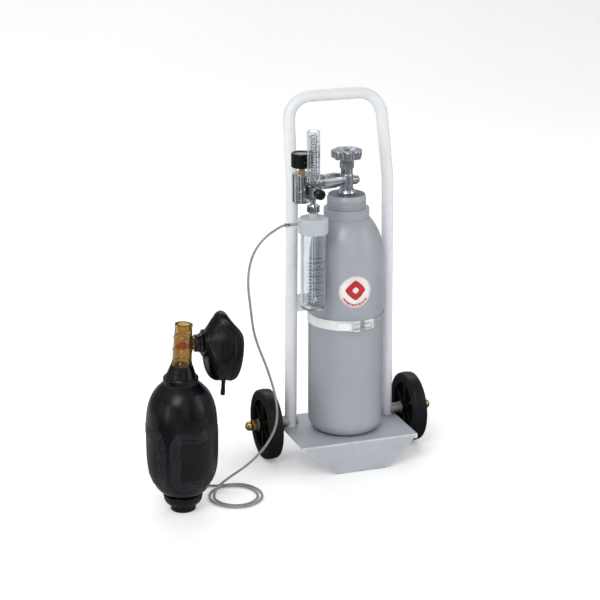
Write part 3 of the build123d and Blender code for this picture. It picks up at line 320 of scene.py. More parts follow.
MATERIALS = {
    "frame_paint": enamel("frame_enamel", (0.78, 0.80, 0.82), 0.30, 0.08, 0.6),
    "plate_paint": plate_enamel(),
    "cylinder_paint": cylinder_enamel(),
    "band_paint": band_enamel(),
    "zinc_steel": machined("zinc_plate", (0.52, 0.52, 0.50), 0.36, (300, 60, 60), 0.2),
    "bright_wire": machined("bright_wire", (0.72, 0.72, 0.73), 0.20, (80, 80, 80), 0.1),
    "brass": machined("turned_brass", (0.66, 0.46, 0.20), 0.18, (60, 60, 700), 0.10),
    "wheel_plastic": moulded("wheel_plastic", (0.004, 0.004, 0.0045), 0.34, 1500, 0.15, 0.0, 0.25),
    "tyre_rubber": rubber("tyre_rubber", (0.003, 0.0032, 0.004), 0.42, 700, 0.2, 0.22),
    "label_film": moulded("label_film", (0.80, 0.78, 0.77), 0.22, 300, 0.03, 0.4),
    "valve_metal": cast_metal("valve_nickel", (0.42, 0.44, 0.48), 0.26),
    "handwheel_metal": cast_metal("handwheel_alloy", (0.46, 0.48, 0.52), 0.24, 0.4),
    "chrome": machined("chrome_plate", (0.62, 0.64, 0.67), 0.09, (60, 60, 300), 0.05, 0.2),
    "seal_rubber": rubber("seal_rubber", (0.006, 0.006, 0.006), 0.5),
    "spring_steel": machined("spring_steel", (0.50, 0.50, 0.52), 0.28, (60, 60, 60), 0.1),
    # black_rubber's last figure is the strength of a faint painted highlight on its crests.
    "black_rubber": rubber("black_rubber", (0.0010, 0.0014, 0.0028), 0.27, 1100, 0.02, 0.26, 0.06),
    "dial_white": moulded("dial_card", (0.78, 0.78, 0.75), 0.55, 800, 0.05),
    "pointer_black": moulded("pointer_black", (0.012, 0.012, 0.012), 0.4),
    "clear_plastic": clear("clear_plastic", (0.90, 0.93, 0.95)),
    "float_steel": machined("float_steel", (0.70, 0.70, 0.72), 0.08, (50, 50, 50), 0.03),
    "knob_black": moulded("knob_black", (0.003, 0.003, 0.0035), 0.22, 900, 0.06, 0.2, 0.35),
    "lid_plastic": translucent("lid_plastic", (0.56, 0.60, 0.64), 0.32, 0.12),
    "hose_plastic": translucent("hose_plastic", (0.42, 0.45, 0.48), 0.18, 0.45),
    "amber_plastic": amber(),
    "red_silicone": rubber("red_silicone", (0.80, 0.015, 0.010), 0.35, 900, 0.0, 0.5),
}
# bag_rubber's last figure is the strength of the painted highlight on the grip lines' crests.
BAG_RUBBER = rubber("bag_rubber", (0.0010, 0.0014, 0.0028), 0.28, 1100, 0.02, 0.26, 0.06, 0.6)
RED_PRINT = moulded("red_print", (0.50, 0.010, 0.018), 0.30, 600, 0.04, 0.3)
DARK_PRINT = moulded("dark_print", (0.010, 0.012, 0.016), 0.35, 600, 0.04)
GLASS_BLACK = moulded("black_window", (0.004, 0.004, 0.005), 0.10, 900, 0.02, 0.8)


def dress(obj, slot, shader=None):
    """Gives the object its material: the given shader, or else the material of the slot."""
    obj.data.materials.clear()
    obj.data.materials.append((shader or MATERIALS[slot]).material)


for part in frame["record"]["subparts"]:
    dress(NODES[part["node"]], part["material_slot"])


# Shape helpers


def add_object(name, data):
    """A new object that is linked to the scene."""
    obj = bpy.data.objects.new(name, data)
    bpy.context.scene.collection.objects.link(obj)
    return obj


def spline(points, count, closed=False):
    """Evenly spaced points on a smooth curve through the given ones."""
    p = np.array(points, float)
    if closed:
        p = np.vstack([p, p[:1]])
    gap = np.linalg.norm(np.diff(p, axis=0), axis=1)
    slope = np.diff(p, axis=0) / gap[:, None]
    last = len(p) - 1
    matrix = np.zeros((last + 1, last + 1))
    right = np.zeros_like(p)
    for i in range(1, last):
        matrix[i, i - 1], matrix[i, i], matrix[i, i + 1] = gap[i - 1], 2 * (gap[i - 1] + gap[i]), gap[i]
        right[i] = 6 * (slope[i] - slope[i - 1])
    matrix[0, 0] = matrix[last, last] = 1
    if closed:
        matrix[0, last] = -1
        matrix[last] = 0
        matrix[last, last - 1], matrix[last, last], matrix[last, 1] = gap[-1], 2 * (gap[-1] + gap[0]), gap[0]
        right[last] = 6 * (slope[0] - slope[-1])
    bend = np.linalg.solve(matrix, right)
    knots = np.concatenate([[0], np.cumsum(gap)])
    fine = np.linspace(0, knots[-1], 8 * count)
    k = np.clip(np.searchsorted(knots, fine, side="right") - 1, 0, last - 1)
    h = gap[k][:, None]
    a, b = (knots[k + 1] - fine)[:, None], (fine - knots[k])[:, None]
    curve = bend[k] * a**3 / (6 * h) + bend[k + 1] * b**3 / (6 * h)
    curve += (p[k] / h - bend[k] * h / 6) * a + (p[k + 1] / h - bend[k + 1] * h / 6) * b
    along = np.concatenate([[0], np.cumsum(np.linalg.norm(np.diff(curve, axis=0), axis=1))])
    even = np.linspace(0, along[-1], count + 1 if closed else count)
    out = np.stack([np.interp(even, along, curve[:, c]) for c in range(curve.shape[1])], axis=1)
    return out[:-1] if closed else out


def solid_from(name, verts, faces, body, slot, shader=None, replaces=None, smooth=True):
    """A mesh object that rides on a body."""
    data = bpy.data.meshes.new(name)
    data.from_pydata([tuple(v) for v in verts], [], faces)
    tidy = bmesh.new()
    tidy.from_mesh(data)
    bmesh.ops.recalc_face_normals(tidy, faces=tidy.faces)
    for face in tidy.faces:
        face.smooth = smooth
    tidy.to_mesh(data)
    tidy.free()
    obj = add_object(name, data)
    dress(obj, slot, shader)
    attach(obj, body)
    if replaces:
        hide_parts(replaces)
    return obj


def skin(loops, cyclic=False):
    """Vertices and faces of a closed skin over equal loops; cyclic joins the last loop to the first."""
    size = len(loops[0])
    verts = [tuple(v) for loop in loops for v in loop]
    faces = []
    for i in range(len(loops) if cyclic else len(loops) - 1):
        a, b = i * size, ((i + 1) % len(loops)) * size
        faces += [(a + k, a + (k + 1) % size, b + (k + 1) % size, b + k) for k in range(size)]
    if not cyclic:
        faces.append(tuple(range(size - 1, -1, -1)))
        faces.append(tuple((len(loops) - 1) * size + k for k in range(size)))
    return verts, faces


def frames_along(path):
    """Two unit side vectors at each point of a path, carried along without twist."""
    ahead = np.gradient(path, axis=0)
    ahead /= np.linalg.norm(ahead, axis=1)[:, None]
    side = np.cross(ahead[0], (0, 0, 1.0)) if abs(ahead[0][2]) < 0.9 else np.cross(ahead[0], (0, 1.0, 0))
    sides = []
    for t in ahead:
        side = side - t * side.dot(t)
        side /= np.linalg.norm(side)
        sides.append(side)
    sides = np.array(sides)
    return sides, np.cross(ahead, sides)


def pipe_loops(path, radius, count, ripple=None):
    """Round loops of a radius along a path; ripple(point_index, angle) changes the radius."""
    u, v = frames_along(path)
    angles = np.linspace(0, 2 * math.pi, count, endpoint=False)
    loops = []
    for i, centre in enumerate(path):
        r = np.array([radius + (ripple(i, a) if ripple else 0) for a in angles])
        loops.append(centre + (np.cos(angles) * r)[:, None] * u[i] + (np.sin(angles) * r)[:, None] * v[i])
    return loops


class Print:
    """Ink on an upright round surface: thin closed plates gathered into one mesh."""

    def __init__(self, centre, radius, azimuth, lift=0.00006, thickness=0.00012):
        self.place = (centre, radius, azimuth)
        self.low, self.high = lift, lift + thickness
        self.verts, self.faces = [], []

    def point(self, s, z, lift):
        centre, radius, azimuth = self.place
        angle = math.radians(azimuth) + s / radius
        out = radius + lift
        return centre.x + out * math.sin(angle), centre.y - out * math.cos(angle), z

    def wall(self, back, front, a, b):
        """One face of a plate's rim, between its points a and b."""
        self.faces.append((back + a, back + b, front + b, front + a))

    def sheet(self, grid, wrap=False):
        """A closed plate from rows of (s, z); wrap joins each row's ends."""
        rows, cols = len(grid), len(grid[0])
        back = len(self.verts)
        front = back + rows * cols
        for lift in (self.low, self.high):
            self.verts += [self.point(s, z, lift) for row in grid for s, z in row]
        last = (rows - 1) * cols
        for j in range(cols if wrap else cols - 1):
            k = (j + 1) % cols
            for row in range(0, last, cols):
                quad = (row + j, row + k, row + cols + k, row + cols + j)
                self.faces.append(tuple(front + n for n in quad))
                self.faces.append(tuple(back + n for n in reversed(quad)))
            self.wall(back, front, j, k)
            self.wall(back, front, last + k, last + j)
        for row in range(0, 0 if wrap else last, cols):
            self.wall(back, front, row + cols, row)
            self.wall(back, front, row + cols - 1, row + 2 * cols - 1)

    def bar(self, s, z, width, height, step=0.0012):
        """A rectangle centred at (s, z)."""
        parts = max(1, math.ceil(width / step))
        across = [s - width / 2 + width * j / parts for j in range(parts + 1)]
        self.sheet([[(at, z + side * height / 2) for at in across] for side in (-1, 1)])

    def polar(self, s, z, inner, outer, start=0.0, end=2 * math.pi, steps=48, rows=6):
        """A patch between inner(angle) and outer(angle) round (s, z)."""
        full = abs(end - start - 2 * math.pi) < 1e-6
        angles = [start + (end - start) * j / (steps if full else steps - 1) for j in range(steps)]
        grid = []
        for i in range(rows):
            radii = [inner(a) + (outer(a) - inner(a)) * i / (rows - 1) for a in angles]
            grid.append([(s + math.cos(a) * r, z + math.sin(a) * r) for a, r in zip(angles, radii)])
        self.sheet(grid, wrap=full)

    def words(self, text, s, z, size):
        """Figures set in the plain built-in face, centred at (s, z)."""
        curve = bpy.data.curves.new("figures", "FONT")
        curve.body = text
        curve.size = size
        curve.align_x, curve.align_y = "CENTER", "CENTER"
        curve.extrude = 0.5
        curve.resolution_u = 2
        obj = add_object("figures", curve)
        data = bpy.data.meshes.new_from_object(obj.evaluated_get(bpy.context.evaluated_depsgraph_get()))
        bpy.data.objects.remove(obj)
        shape = bmesh.new()
        shape.from_mesh(data)
        bmesh.ops.remove_doubles(shape, verts=shape.verts, dist=1e-7)
        start = len(self.verts)
        for v in shape.verts:
            self.verts.append(self.point(s + v.co.x, z + v.co.y, self.high if v.co.z > 0 else self.low))
        self.faces += [tuple(start + v.index for v in f.verts) for f in shape.faces]
        shape.free()
        bpy.data.meshes.remove(data)
        bpy.data.curves.remove(curve)

    def make(self, name, body, slot, shader):
        return solid_from(name, self.verts, self.faces, body, slot, shader, smooth=False)


def signed_power(value, power):
    """A value raised to a power with its sign kept, which squares off a circle."""
    return math.copysign(abs(value) ** power, value)


def leaning(points):
    """Points round the patient valve's axis, in millimetres, moved to where the valve leans, in metres."""
    p = np.array(points, float) * MM
    x, z = p[..., 0], p[..., 2] - LEAN_Z
    c, s = math.cos(LEAN), math.sin(LEAN)
    return np.stack([BAG.x + x * c + z * s, BAG.y + p[..., 1], LEAN_Z - x * s + z * c], axis=-1)


# Soft pieces

BAG_OUTSIDE = [(32, 33.2), (38.5, 37), (51, 54), (59, 74), (62.5, 100), (63.2, 130), (63, 160),
               (61.2, 185), (55.5, 208), (46, 225), (31, 240)]
BAG_INSIDE = [(28.5, 240), (43.5, 222), (52.8, 206), (58.3, 183), (60, 158), (60.2, 130), (59.4, 102),
              (56, 77), (48, 58), (36, 42), (29.2, 35)]
BAG_R = 63
PANEL_MIDDLES = (21, 141, -99)
PANEL_Z, PANEL_HALF_WIDTH, PANEL_HALF_HEIGHT, PANEL_CORNER = 111, 62, 55, 24
LINE_BAND, LINE_STEP, LINE_HEIGHT = 19, 3.8, 1.05
STROKE_S, STROKE_HEIGHTS = -22, (67, 61.5)


def grip_lines(s, z):
    """Height of a grip panel's raised lines at s across and z up, all in millimetres."""
    wave = 0.9 * math.sin(z * 0.16) + 0.5 * math.sin(z * 0.31 + 1)
    sway = 1.5 * np.sin(s * 0.13 + 0.6)
    inset_s = PANEL_HALF_WIDTH + wave - np.abs(s)
    inset_z = PANEL_HALF_HEIGHT + sway - abs(z - PANEL_Z)
    in_corner = (inset_s < PANEL_CORNER) & (inset_z < PANEL_CORNER)
    round_off = PANEL_CORNER - np.hypot(PANEL_CORNER - inset_s, PANEL_CORNER - inset_z)
    inset = np.where(in_corner, round_off, np.minimum(inset_s, inset_z))
    band = np.clip(inset / 1.2, 0, 1) * np.clip((LINE_BAND - inset) / 1.2, 0, 1)
    lines = LINE_HEIGHT * band * (0.5 - 0.5 * np.cos(2 * math.pi * inset / LINE_STEP)) ** 2
    strokes = sum(np.exp(-((z - height) / 1.1) ** 2) for height in STROKE_HEIGHTS)
    return lines + 0.7 * strokes * np.exp(-((s - STROKE_S) / 5.5) ** 2)


def bag_loop(angles, radius, z):
    """A loop round the bag's axis from radii and a height in millimetres."""
    r = np.full(len(angles), radius) * MM
    return np.column_stack([BAG.x + r * np.sin(angles), BAG.y - r * np.cos(angles), np.full(len(r), z * MM)])


def rubber_bag():
    """The self-inflating bag: a thick egg-shaped skin with three moulded grip panels of raised lines."""
    angles = np.linspace(0, 2 * math.pi, 440, endpoint=False)
    phases = np.random.default_rng(7).uniform(0, 2 * math.pi, 6)
    loops = []
    for radius, z in spline(BAG_OUTSIDE, 230):
        sag = 0.35 * np.sin(2 * angles + phases[0]) * math.sin(z * 0.035)
        sag += 0.25 * np.sin(3 * angles + phases[1] + z * 0.02)
        lift = sag if 45 < z < 225 else 0 * sag
        for centre in PANEL_MIDDLES:
            turn = (np.degrees(angles) - centre + 180) % 360 - 180
            lift = lift + grip_lines(np.radians(turn) * BAG_R, z)
        loops.append(bag_loop(angles, radius + lift, z))
    loops += [bag_loop(angles, radius, z) for radius, z in spline(BAG_INSIDE, 60)]
    verts, faces = skin(loops, cyclic=True)
    solid_from("rubber_bag", verts, faces, "bag", "black_rubber", BAG_RUBBER, replaces="resuscitator_bag")


FACE_LINE = [(0, 61), (16, 56), (30, 40), (40, 14), (44, -20), (34, -52),
             (0, -63), (-34, -52), (-44, -20), (-40, 14), (-30, 40), (-16, 56)]
RIM_DROP = [-66, -52, -30, 0, 14, 26, 34, 42, 52, 64]
RIM_REACH = [82, 85, 88, 90.5, 91, 90.5, 88, 82, 72.5, 65]
RIM_INSET, RIM_HALF_WIDE, RIM_HALF_DEEP = 0.87, 8.0, 9.0
COLLAR_R, SWIVEL_R, TUBE_REACH = 22.8, 12.4, 78
MASK_Z, MASK_CENTRE_Z, MASK_START = 310.0, 305.0, 34.6


def face_outline(count):
    """The cushion's outline seen along the mask's axis: evenly spaced (y, z) round its centre."""
    return spline(FACE_LINE, count, closed=True)


def outline_turn(line):
    """The angle of each point of an outline, as seen from its centre."""
    return np.arctan2(line[:, 1], line[:, 0])


def rim_along(drop):
    """How far along the mask's axis the cushion lies: swept back at the nose, forward at the cheeks."""
    return sum(np.interp(drop + shift, RIM_DROP, RIM_REACH) for shift in (-5, -2.5, 0, 2.5, 5)) / 5


def dome_loops(steps, collar, start, scale, reach):
    """Loops from a round collar out to the cushion: a straight slope at the nose, a full chin below."""
    line = face_outline(180)
    turn = outline_turn(line)
    ring = np.stack([np.cos(turn), np.sin(turn)], axis=1) * collar + [0, MASK_Z - MASK_CENTRE_Z]
    full = 2.1 - 0.85 * np.clip(np.sin(turn), 0, 1) + 4.2 * np.clip(-np.sin(turn), 0, 1) ** 1.5
    end = rim_along(line[:, 1]) - reach
    loops = []
    for i in range(steps):
        t = i / (steps - 1)
        swell = 1 - (1 - t) ** full
        swell += 0.020 * np.exp(-((t - 0.80) / 0.05) ** 2) - 0.016 * np.exp(-((t - 0.62) / 0.07) ** 2)
        section = ring + (line * scale - ring) * swell[:, None]
        along = start + (end - start) * t
        loops.append(np.column_stack([along, section[:, 0], section[:, 1] + MASK_CENTRE_Z]))
    return loops


def collar_ring(along, radius):
    """A round loop on the mask's axis with as many points as the face outline."""
    turn = outline_turn(face_outline(180))
    return np.column_stack([np.full(180, along), radius * np.cos(turn), radius * np.sin(turn) + MASK_Z])


def mask_shell():
    """The mask's dome: a thick rubber shell from the swivel's ridged collar to the cushion."""
    collar = [(0.0, 22.4), (0.8, 23.6), (2.6, 23.9), (3.6, 23.2), (4.4, 22.6)]
    outer = [collar_ring(MASK_START + along, radius) for along, radius in collar]
    outer += dome_loops(40, COLLAR_R, MASK_START + 5.4, 0.985, 6.0)
    inner = dome_loops(26, 19.0, MASK_START + 8.0, 0.915, 5.0)[::-1]
    mouth = [collar_ring(MASK_START + 7.0, SWIVEL_R), collar_ring(MASK_START, SWIVEL_R)]
    loops = [leaning(loop) for loop in outer + inner + mouth]
    solid_from("mask_shell", *skin(loops, cyclic=True), "mask", "black_rubber", replaces="mask_dome")


def filling_tube():
    """Loops of the short tube and plug that hang from the cushion."""
    profile = spline([(3.7, -58), (3.7, -66), (3.5, -76), (3.6, -82)], 20).tolist()
    profile += [(3.9, -82.6), (4.1, -83.4), (4.1, -92.0), (3.6, -93.0)]
    turns = np.linspace(0, 2 * math.pi, 28, endpoint=False)
    loops = []
    for radius, drop in profile:
        z = MASK_CENTRE_Z + drop
        loop = [(TUBE_REACH + radius * math.cos(a), radius * math.sin(a), z) for a in turns]
        loops.append(leaning(loop))
    return loops


def mask_rim():
    """The inflated cushion: a plump, slightly uneven ring round the mask's edge, with its filling tube."""
    around, count = 240, 40
    line = face_outline(around)
    tangent = np.roll(line, -1, axis=0) - np.roll(line, 1, axis=0)
    out = np.column_stack([np.zeros(around), tangent[:, 1], -tangent[:, 0]])
    out /= np.linalg.norm(out, axis=1)[:, None]
    if (out[:, 1:] * line).sum() < 0:
        out = -out
    along = rim_along(line[:, 1])
    centre = np.column_stack([along, line[:, 0] * RIM_INSET, line[:, 1] * RIM_INSET + MASK_CENTRE_Z])
    loops = []
    for i in range(around):
        turn = 2 * math.pi * i / around
        plump = 1 + 0.02 * math.sin(3 * turn + 0.7) + 0.015 * math.sin(7 * turn + 2)
        loop = []
        for j in range(count):
            a = 2 * math.pi * j / count
            wide = RIM_HALF_WIDE * signed_power(math.cos(a), 0.85) * plump
            deep = RIM_HALF_DEEP * signed_power(math.sin(a), 0.85)
            seam = 0.35 * math.exp(-((a - math.pi) / 0.12) ** 2)
            seam += 0.45 * math.exp(-(min(a, 2 * math.pi - a) / 0.10) ** 2)
            loop.append(centre[i] + out[i] * (wide + seam) + np.array([deep, 0, 0]))
        loops.append(leaning(loop))
    verts, faces = skin(loops, cyclic=True)
    tube_verts, tube_faces = skin(filling_tube())
    faces += [tuple(len(verts) + k for k in face) for face in tube_faces]
    solid_from("mask_rim", verts + tube_verts, faces, "mask", "black_rubber", replaces="mask_cushion")


HOSE_R, HOSE_BORE_R, COIL_R, COIL_Z = 2.2, 1.35, 52.0, 3.1


def coil_point(angle):
    """A point on the hose's coil, which widens as it turns."""
    a = math.radians(angle)
    radius = COIL_R - 8 * (825 - angle) / 360
    return -261 + radius * math.cos(a), -41 + 1.08 * radius * math.sin(a), COIL_Z


def hose_line():
    """The hose's centre line, from the humidifier's outlet round the coil to the bag's nipple."""
    x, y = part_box("humidifier_lid")[0].x / MM - 0.5, FLOW.y / MM
    hang = [(x, y, 480), (x - 9, y, 480), (-154, 30, 475), (-177, 27, 462), (-197, 24, 441),
            (-209, 20, 415), (-214, 15, 385), (-212, 9, 340), (-206, 2, 287), (-192, -4, 243),
            (-178, -9, 197), (-170, -12, 152), (-174, -14, 115), (-189, -13, 85), (-206, -11, 64),
            (-232, -5, 40), (-260, 3, 19), (-281, -4, 8)]
    coil = [coil_point(angle) for angle in range(150, 826, 45)]
    end = [(BAG.x / MM + reach / 2, BAG.y / MM + reach * math.sqrt(0.75), 21) for reach in (64, 54)]
    return spline(hang + coil + [(-296, 21, COIL_Z), (-313, 20, 8)] + end, 900) * MM


def extrusion_ripple(i, angle):
    """How far the hose's wall stands off a true tube."""
    return 0.00005 * math.sin(i * 0.11) + 0.00003 * math.sin(3 * angle)


def gas_hose():
    """The thin clear hose: a tube with a bore, very slightly uneven as extruded."""
    path = hose_line()
    outer = pipe_loops(path, HOSE_R * MM, 20, extrusion_ripple)
    inner = pipe_loops(path, HOSE_BORE_R * MM, 20)[::-1]
    verts, faces = skin(outer + inner, cyclic=True)
    solid_from("gas_hose", verts, faces, "root", "hose_plastic", replaces="oxygen_hose")


# Printed marks

LABEL_TURN, SCALE_TURN = -6, -14
LABEL_DASHES, DASH_GAP = (4, 9, 6, 10, 5, 9, 7, 4, 10, 8, 6, 9), 3
DIAMOND_CORNER = 1.25
DIAL_START, DIAL_STEP, DIAL_MARKS, RED_FROM = 235, 6.75, 41, 36


def diamond(half):
    """The radius, by angle, of a diamond with rounded sides."""
    p = DIAMOND_CORNER
    return lambda a: half / (abs(math.cos(a)) ** p + abs(math.sin(a)) ** p) ** (1 / p)


def circle(radius):
    """The radius, by angle, of a circle."""
    return lambda a: radius


def label_marks():
    """A red rounded diamond over an arc of short red dashes, on the white sticker."""
    ink = Print(CYL, CYL_R + 0.0003, LABEL_TURN)
    z = middle("cylinder_label").z
    ink.polar(0, z + 0.003, diamond(0.0062), diamond(0.0190), steps=96, rows=9)
    at = 206
    for wide in LABEL_DASHES:
        ink.polar(0, z, circle(0.0228), circle(0.0270), math.radians(at), math.radians(at + wide), 5, 3)
        at += wide + DASH_GAP
    ink.polar(0, z, circle(0.0286), circle(0.0291), steps=120, rows=2)
    ink.make("label_print", "root", "label_film", RED_PRINT)


def jar_marks():
    """Two columns of level marks with figures on the humidifier's jar."""
    ink = Print(JAR, JAR_R, SCALE_TURN)
    start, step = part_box("humidifier_jar")[0].z + 0.016, 0.0062
    for k in range(13):
        z = start + k * step
        long = k % 2 == 0
        ink.bar(-0.009, z, 0.009 if long else 0.0055, 0.0009)
        ink.bar(0.009, z, 0.010 if long else 0.006, 0.0009)
        if long:
            ink.words(str(50 + 25 * k), 0.0005, z, 0.0066)
            ink.words(str(k + 1), 0.0170, z, 0.0060)
    ink.bar(0.002, start + 13.4 * step, 0.026, 0.0010)
    ink.make("jar_print", "jar", "pointer_black", DARK_PRINT)


def flow_marks():
    """The flow scale: rungs and figures printed round the front of the measuring tube's cover."""
    ink = Print(FLOW, FLOW_R, SCALE_TURN)
    start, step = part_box("outer_tube")[0].z + 0.010, 0.0047
    for k in range(16):
        z = start + k * step
        long = k % 2 == 0
        ink.bar(-0.0005, z, 0.0095 if long else 0.006, 0.0010)
        if long:
            ink.words(str(k), 0.0080, z, 0.0062)
    for side in (-1, 1):
        ink.bar(side * 0.0052 - 0.0005, FLOW.z - 0.001, 0.0007, 0.075)
    ink.make("flow_print", "root", "pointer_black", DARK_PRINT)


def dial_wedges(name, wedges, shader):
    """Thin plates on the dial, each given as (angle, width in degrees, inner radius, outer radius)."""
    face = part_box("gauge_dial")[1].z
    sides = ((3, 2, 1, 0), (4, 5, 6, 7), (0, 1, 5, 4), (1, 2, 6, 5), (2, 3, 7, 6), (3, 0, 4, 7))
    verts, faces = [], []
    for at, wide, inner, outer in wedges:
        faces += [tuple(len(verts) + k for k in side) for side in sides]
        for lift in (0.00005, 0.00015):
            for r, side in ((inner, -1), (outer, -1), (outer, 1), (inner, 1)):
                a = math.radians(at + side * wide / 2)
                verts.append((GAUGE.x + r * math.cos(a), GAUGE.y + r * math.sin(a), face + lift))
    solid_from(name, verts, faces, "root", "pointer_black", shader, smooth=False)


def dial_marks():
    """The gauge's scale: short and long marks on the dial, with a red end."""
    radius = half_width("gauge_dial")
    marks = []
    for k in range(DIAL_MARKS):
        wide, long = (0.9, 0.0028) if k % 5 == 0 else (0.5, 0.0016)
        marks.append((DIAL_START - DIAL_STEP * k, wide, radius * 0.93 - long, radius * 0.93))
    last = range(RED_FROM, DIAL_MARKS - 1)
    red = [(DIAL_START - DIAL_STEP * k, 6.4, radius * 0.95, radius * 0.985) for k in last]
    dial_wedges("dial_print", marks, DARK_PRINT)
    dial_wedges("dial_red", red, RED_PRINT)


# Small hardware details

LEG_X, LEG_R, BEAD = 0.0976, 0.0112, 0.0022
GROUP_TURN = math.radians(10)
BLOCK_FACE, BLOCK_Z = 0.0120, 0.541


def valve_foot():
    """The bright rounded flange where the valve screws down on the neck."""
    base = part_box("neck_ring")[1].z
    profile = [(12.1, 0.0), (15.8, 0.0), (16.6, 0.7), (16.9, 2.4), (16.4, 4.2), (15.4, 5.4),
               (15.0, 6.0), (15.2, 6.8), (14.8, 8.0), (13.4, 8.8), (12.1, 9.0)]
    turn = np.linspace(0, 2 * math.pi, 72, endpoint=False)
    loops = []
    for radius, rise in profile:
        x, y = CYL.x + radius * MM * np.cos(turn), CYL.y + radius * MM * np.sin(turn)
        loops.append(np.column_stack([x, y, np.full(len(turn), base + rise * MM)]))
    solid_from("valve_foot", *skin(loops, cyclic=True), "root", "chrome")


def weld(name, centre, seed):
    """A lumpy weld bead round an upright tube where it meets the plate."""
    rng = np.random.default_rng(seed)
    around, up = 150, np.array([0, 0, 1.0])
    loops = []
    for i in range(around):
        a = 2 * math.pi * i / around
        fat = BEAD * (1 + 0.14 * math.sin(26 * a) + 0.08 * rng.uniform(-1, 1))
        out = np.array([math.cos(a), math.sin(a), 0])
        loop = []
        for b in np.linspace(0, 2 * math.pi, 14, endpoint=False):
            across = LEG_R + fat * 0.55 * math.cos(b)
            loop.append(np.array(centre) + out * across + up * fat * (0.25 + 0.75 * math.sin(b)))
        loops.append(loop)
    solid_from(name, *skin(loops, cyclic=True), "root", "plate_paint")


def welds():
    """One bead at the foot of each leg of the frame."""
    foot, low = middle("stub_axles").y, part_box("frame_tube")[0].z
    for name, side in (("weld_left", -1), ("weld_right", 1)):
        weld(name, (side * LEG_X, foot, low), 5 + side)


def window_layer(name, wide, tall, near, far, slot, shader=None):
    """A plate with rounded corners standing off the flow block's left face, from near to far."""
    count = 24
    forward = np.array([math.sin(GROUP_TURN), -math.cos(GROUP_TURN), 0])
    left = np.array([-math.cos(GROUP_TURN), -math.sin(GROUP_TURN), 0])
    centre = np.array([FLOW.x, FLOW.y, BLOCK_Z]) + left * BLOCK_FACE
    loops = []
    for depth in (near, far):
        loop = []
        for k in range(count):
            a = 2 * math.pi * (k + 0.5) / count
            u = signed_power(math.cos(a), 0.25) * wide / 2
            v = signed_power(math.sin(a), 0.25) * tall / 2
            loop.append(centre + left * depth + forward * u + np.array([0, 0, v]))
        loops.append(loop)
    solid_from(name, *skin(loops), "root", slot, shader, smooth=False)


def block_window():
    """The dark inspection plate on the flow block's left face, in a raised bright frame."""
    window_layer("window_frame", 0.0160, 0.0200, -0.0003, 0.0005, "chrome")
    window_layer("window_plate", 0.0130, 0.0168, 0.0002, 0.0009, "pointer_black", GLASS_BLACK)


rubber_bag()
mask_shell()
mask_rim()
valve_foot()
gas_hose()
label_marks()
jar_marks()
flow_marks()
dial_marks()
welds()
block_window()


# Stage, light and camera

CAMERA_TURN, CAMERA_DIP = math.radians(19.34), math.radians(17.65)
CAMERA_AIM = Vector((CYL.x, CYL.y, 0.25))
CAMERA_DISTANCE, CAMERA_LEFT, CAMERA_UP = 3.5511, 0.0853, 0.05528


def floor():
    """A pale sheet that rises behind the object in a wide curve."""
    mesh = bmesh.new()
    half, front, back, radius, rise = 14.0, -14.0, 2.6, 1.6, 6.0
    line = [(front, 0.0), (back, 0.0)]
    for k in range(1, 11):
        a = math.radians(9 * k)
        line.append((back + radius * math.sin(a), radius - radius * math.cos(a)))
    line.append((back + radius, rise))
    rows = [[mesh.verts.new((x, y, z)) for y, z in line] for x in (-half, half)]
    for k in range(len(line) - 1):
        mesh.faces.new((rows[0][k], rows[1][k], rows[1][k + 1], rows[0][k + 1])).smooth = True
    data = bpy.data.meshes.new("backdrop")
    mesh.to_mesh(data)
    obj = add_object("backdrop", data)
    s = Shader("backdrop_paper", (0.90, 0.90, 0.90), 0.8)
    rays = s.node("ShaderNodeLightPath").outputs
    through = s.span(rays["Is Transmission Ray"], 0, 1, 1.0, 0.35)
    mirrored = s.math("MULTIPLY", rays["Is Glossy Ray"], through)
    paper = s.mix(s.span(s.noise(1.5, 3), 0.3, 0.7), (0.89, 0.89, 0.89), (0.92, 0.92, 0.92))
    drapes = s.mix(s.span(s.noise(0.85, 0), 0.46, 0.52), (0.05, 0.052, 0.06), (0.62, 0.63, 0.65))
    s.color(s.mix(mirrored, paper, drapes))
    s.set("Emission Color", (1, 1, 1, 1))
    s.link(s.span(mirrored, 0, 1, 0.22, 0.02), s.bsdf.inputs["Emission Strength"])
    obj.data.materials.append(s.material)


def lamp(name, place, aim, size, power):
    """A rectangular area lamp at a place, turned towards a point."""
    data = bpy.data.lights.new(name, "AREA")
    data.shape = "RECTANGLE"
    data.size, data.size_y = size
    data.energy = power
    obj = add_object(name, data)
    obj.location = place
    obj.rotation_euler = (Vector(aim) - Vector(place)).to_track_quat("-Z", "Y").to_euler()


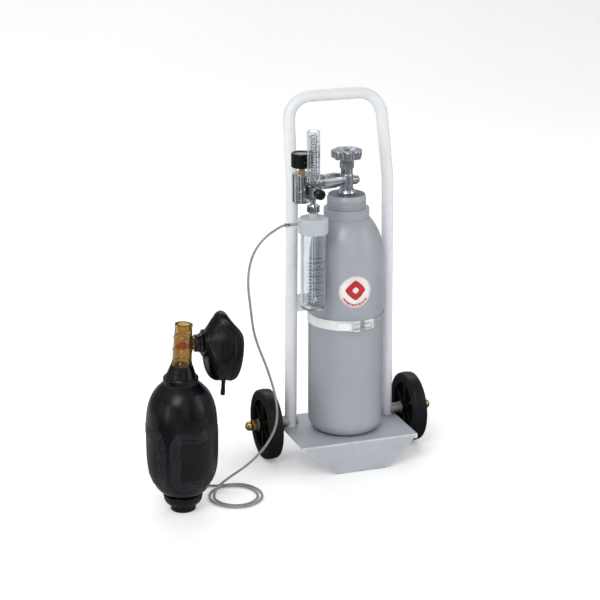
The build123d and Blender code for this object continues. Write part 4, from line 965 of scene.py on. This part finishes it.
def studio():
    """Even white light, but glossy surfaces see a studio: bright panels between dark drapes."""
    world = bpy.data.worlds.new("studio")
    bpy.context.scene.world = world
    world.use_nodes = True
    tree = world.node_tree
    plain = tree.nodes["Background"]
    plain.inputs["Color"].default_value = (1, 1, 1, 1)
    plain.inputs["Strength"].default_value = 0.55
    place = tree.nodes.new("ShaderNodeTexCoord").outputs["Generated"]
    stretched = add_node(tree, "ShaderNodeMapping", {"Vector": place, "Scale": (2.4, 2.4, 0.9)}).outputs[0]
    wide = {"Vector": stretched, "Scale": 1.6, "Detail": 1.0}
    drape = add_node(tree, "ShaderNodeTexNoise", wide).outputs["Fac"]
    levels = {"From Min": 0.44, "From Max": 0.54, "To Min": 0.05, "To Max": 0.95}
    panel = add_node(tree, "ShaderNodeMapRange", {"Value": drape, **levels}).outputs["Result"]
    glossy = add_node(tree, "ShaderNodeBackground", {"Color": panel, "Strength": 1.0}).outputs[0]
    seen = tree.nodes.new("ShaderNodeLightPath").outputs["Is Glossy Ray"]
    both = add_node(tree, "ShaderNodeMixShader", {0: seen, 1: plain.outputs[0], 2: glossy}).outputs[0]
    tree.links.new(both, tree.nodes["World Output"].inputs["Surface"])


def lights():
    """A key from the front left, a fill from the right, a strip beside the bag and a rim light behind."""
    aim = (-0.1, 0.05, 0.3)
    lamp("key", (-1.6, -1.9, 2.7), aim, (1.6, 1.6), 44)
    lamp("fill", (2.4, -1.6, 1.4), aim, (1.0, 2.2), 12)
    lamp("strip", (-2.7, -1.3, 0.8), (-0.36, -0.06, 0.15), (0.25, 1.6), 9)
    lamp("rim", (0.6, 2.2, 2.4), aim, (2.4, 1.0), 22)


def camera():
    """The camera: left of centre, looking slightly down."""
    turn, dip = CAMERA_TURN, CAMERA_DIP
    ahead = Vector((math.sin(turn) * math.cos(dip), math.cos(turn) * math.cos(dip), -math.sin(dip)))
    right = Vector((math.cos(turn), -math.sin(turn), 0))
    up = right.cross(ahead)
    data = bpy.data.cameras.new("camera")
    data.sensor_width = 36
    data.lens = 113.75
    obj = add_object("camera", data)
    place = CAMERA_AIM - ahead * CAMERA_DISTANCE - right * CAMERA_LEFT + up * CAMERA_UP
    obj.matrix_world = Matrix.Translation(place) @ Matrix((right, up, -ahead)).transposed().to_4x4()
    bpy.context.scene.camera = obj


floor()
studio()
lights()
camera()
bpy.context.scene.view_settings.view_transform = "Standard"
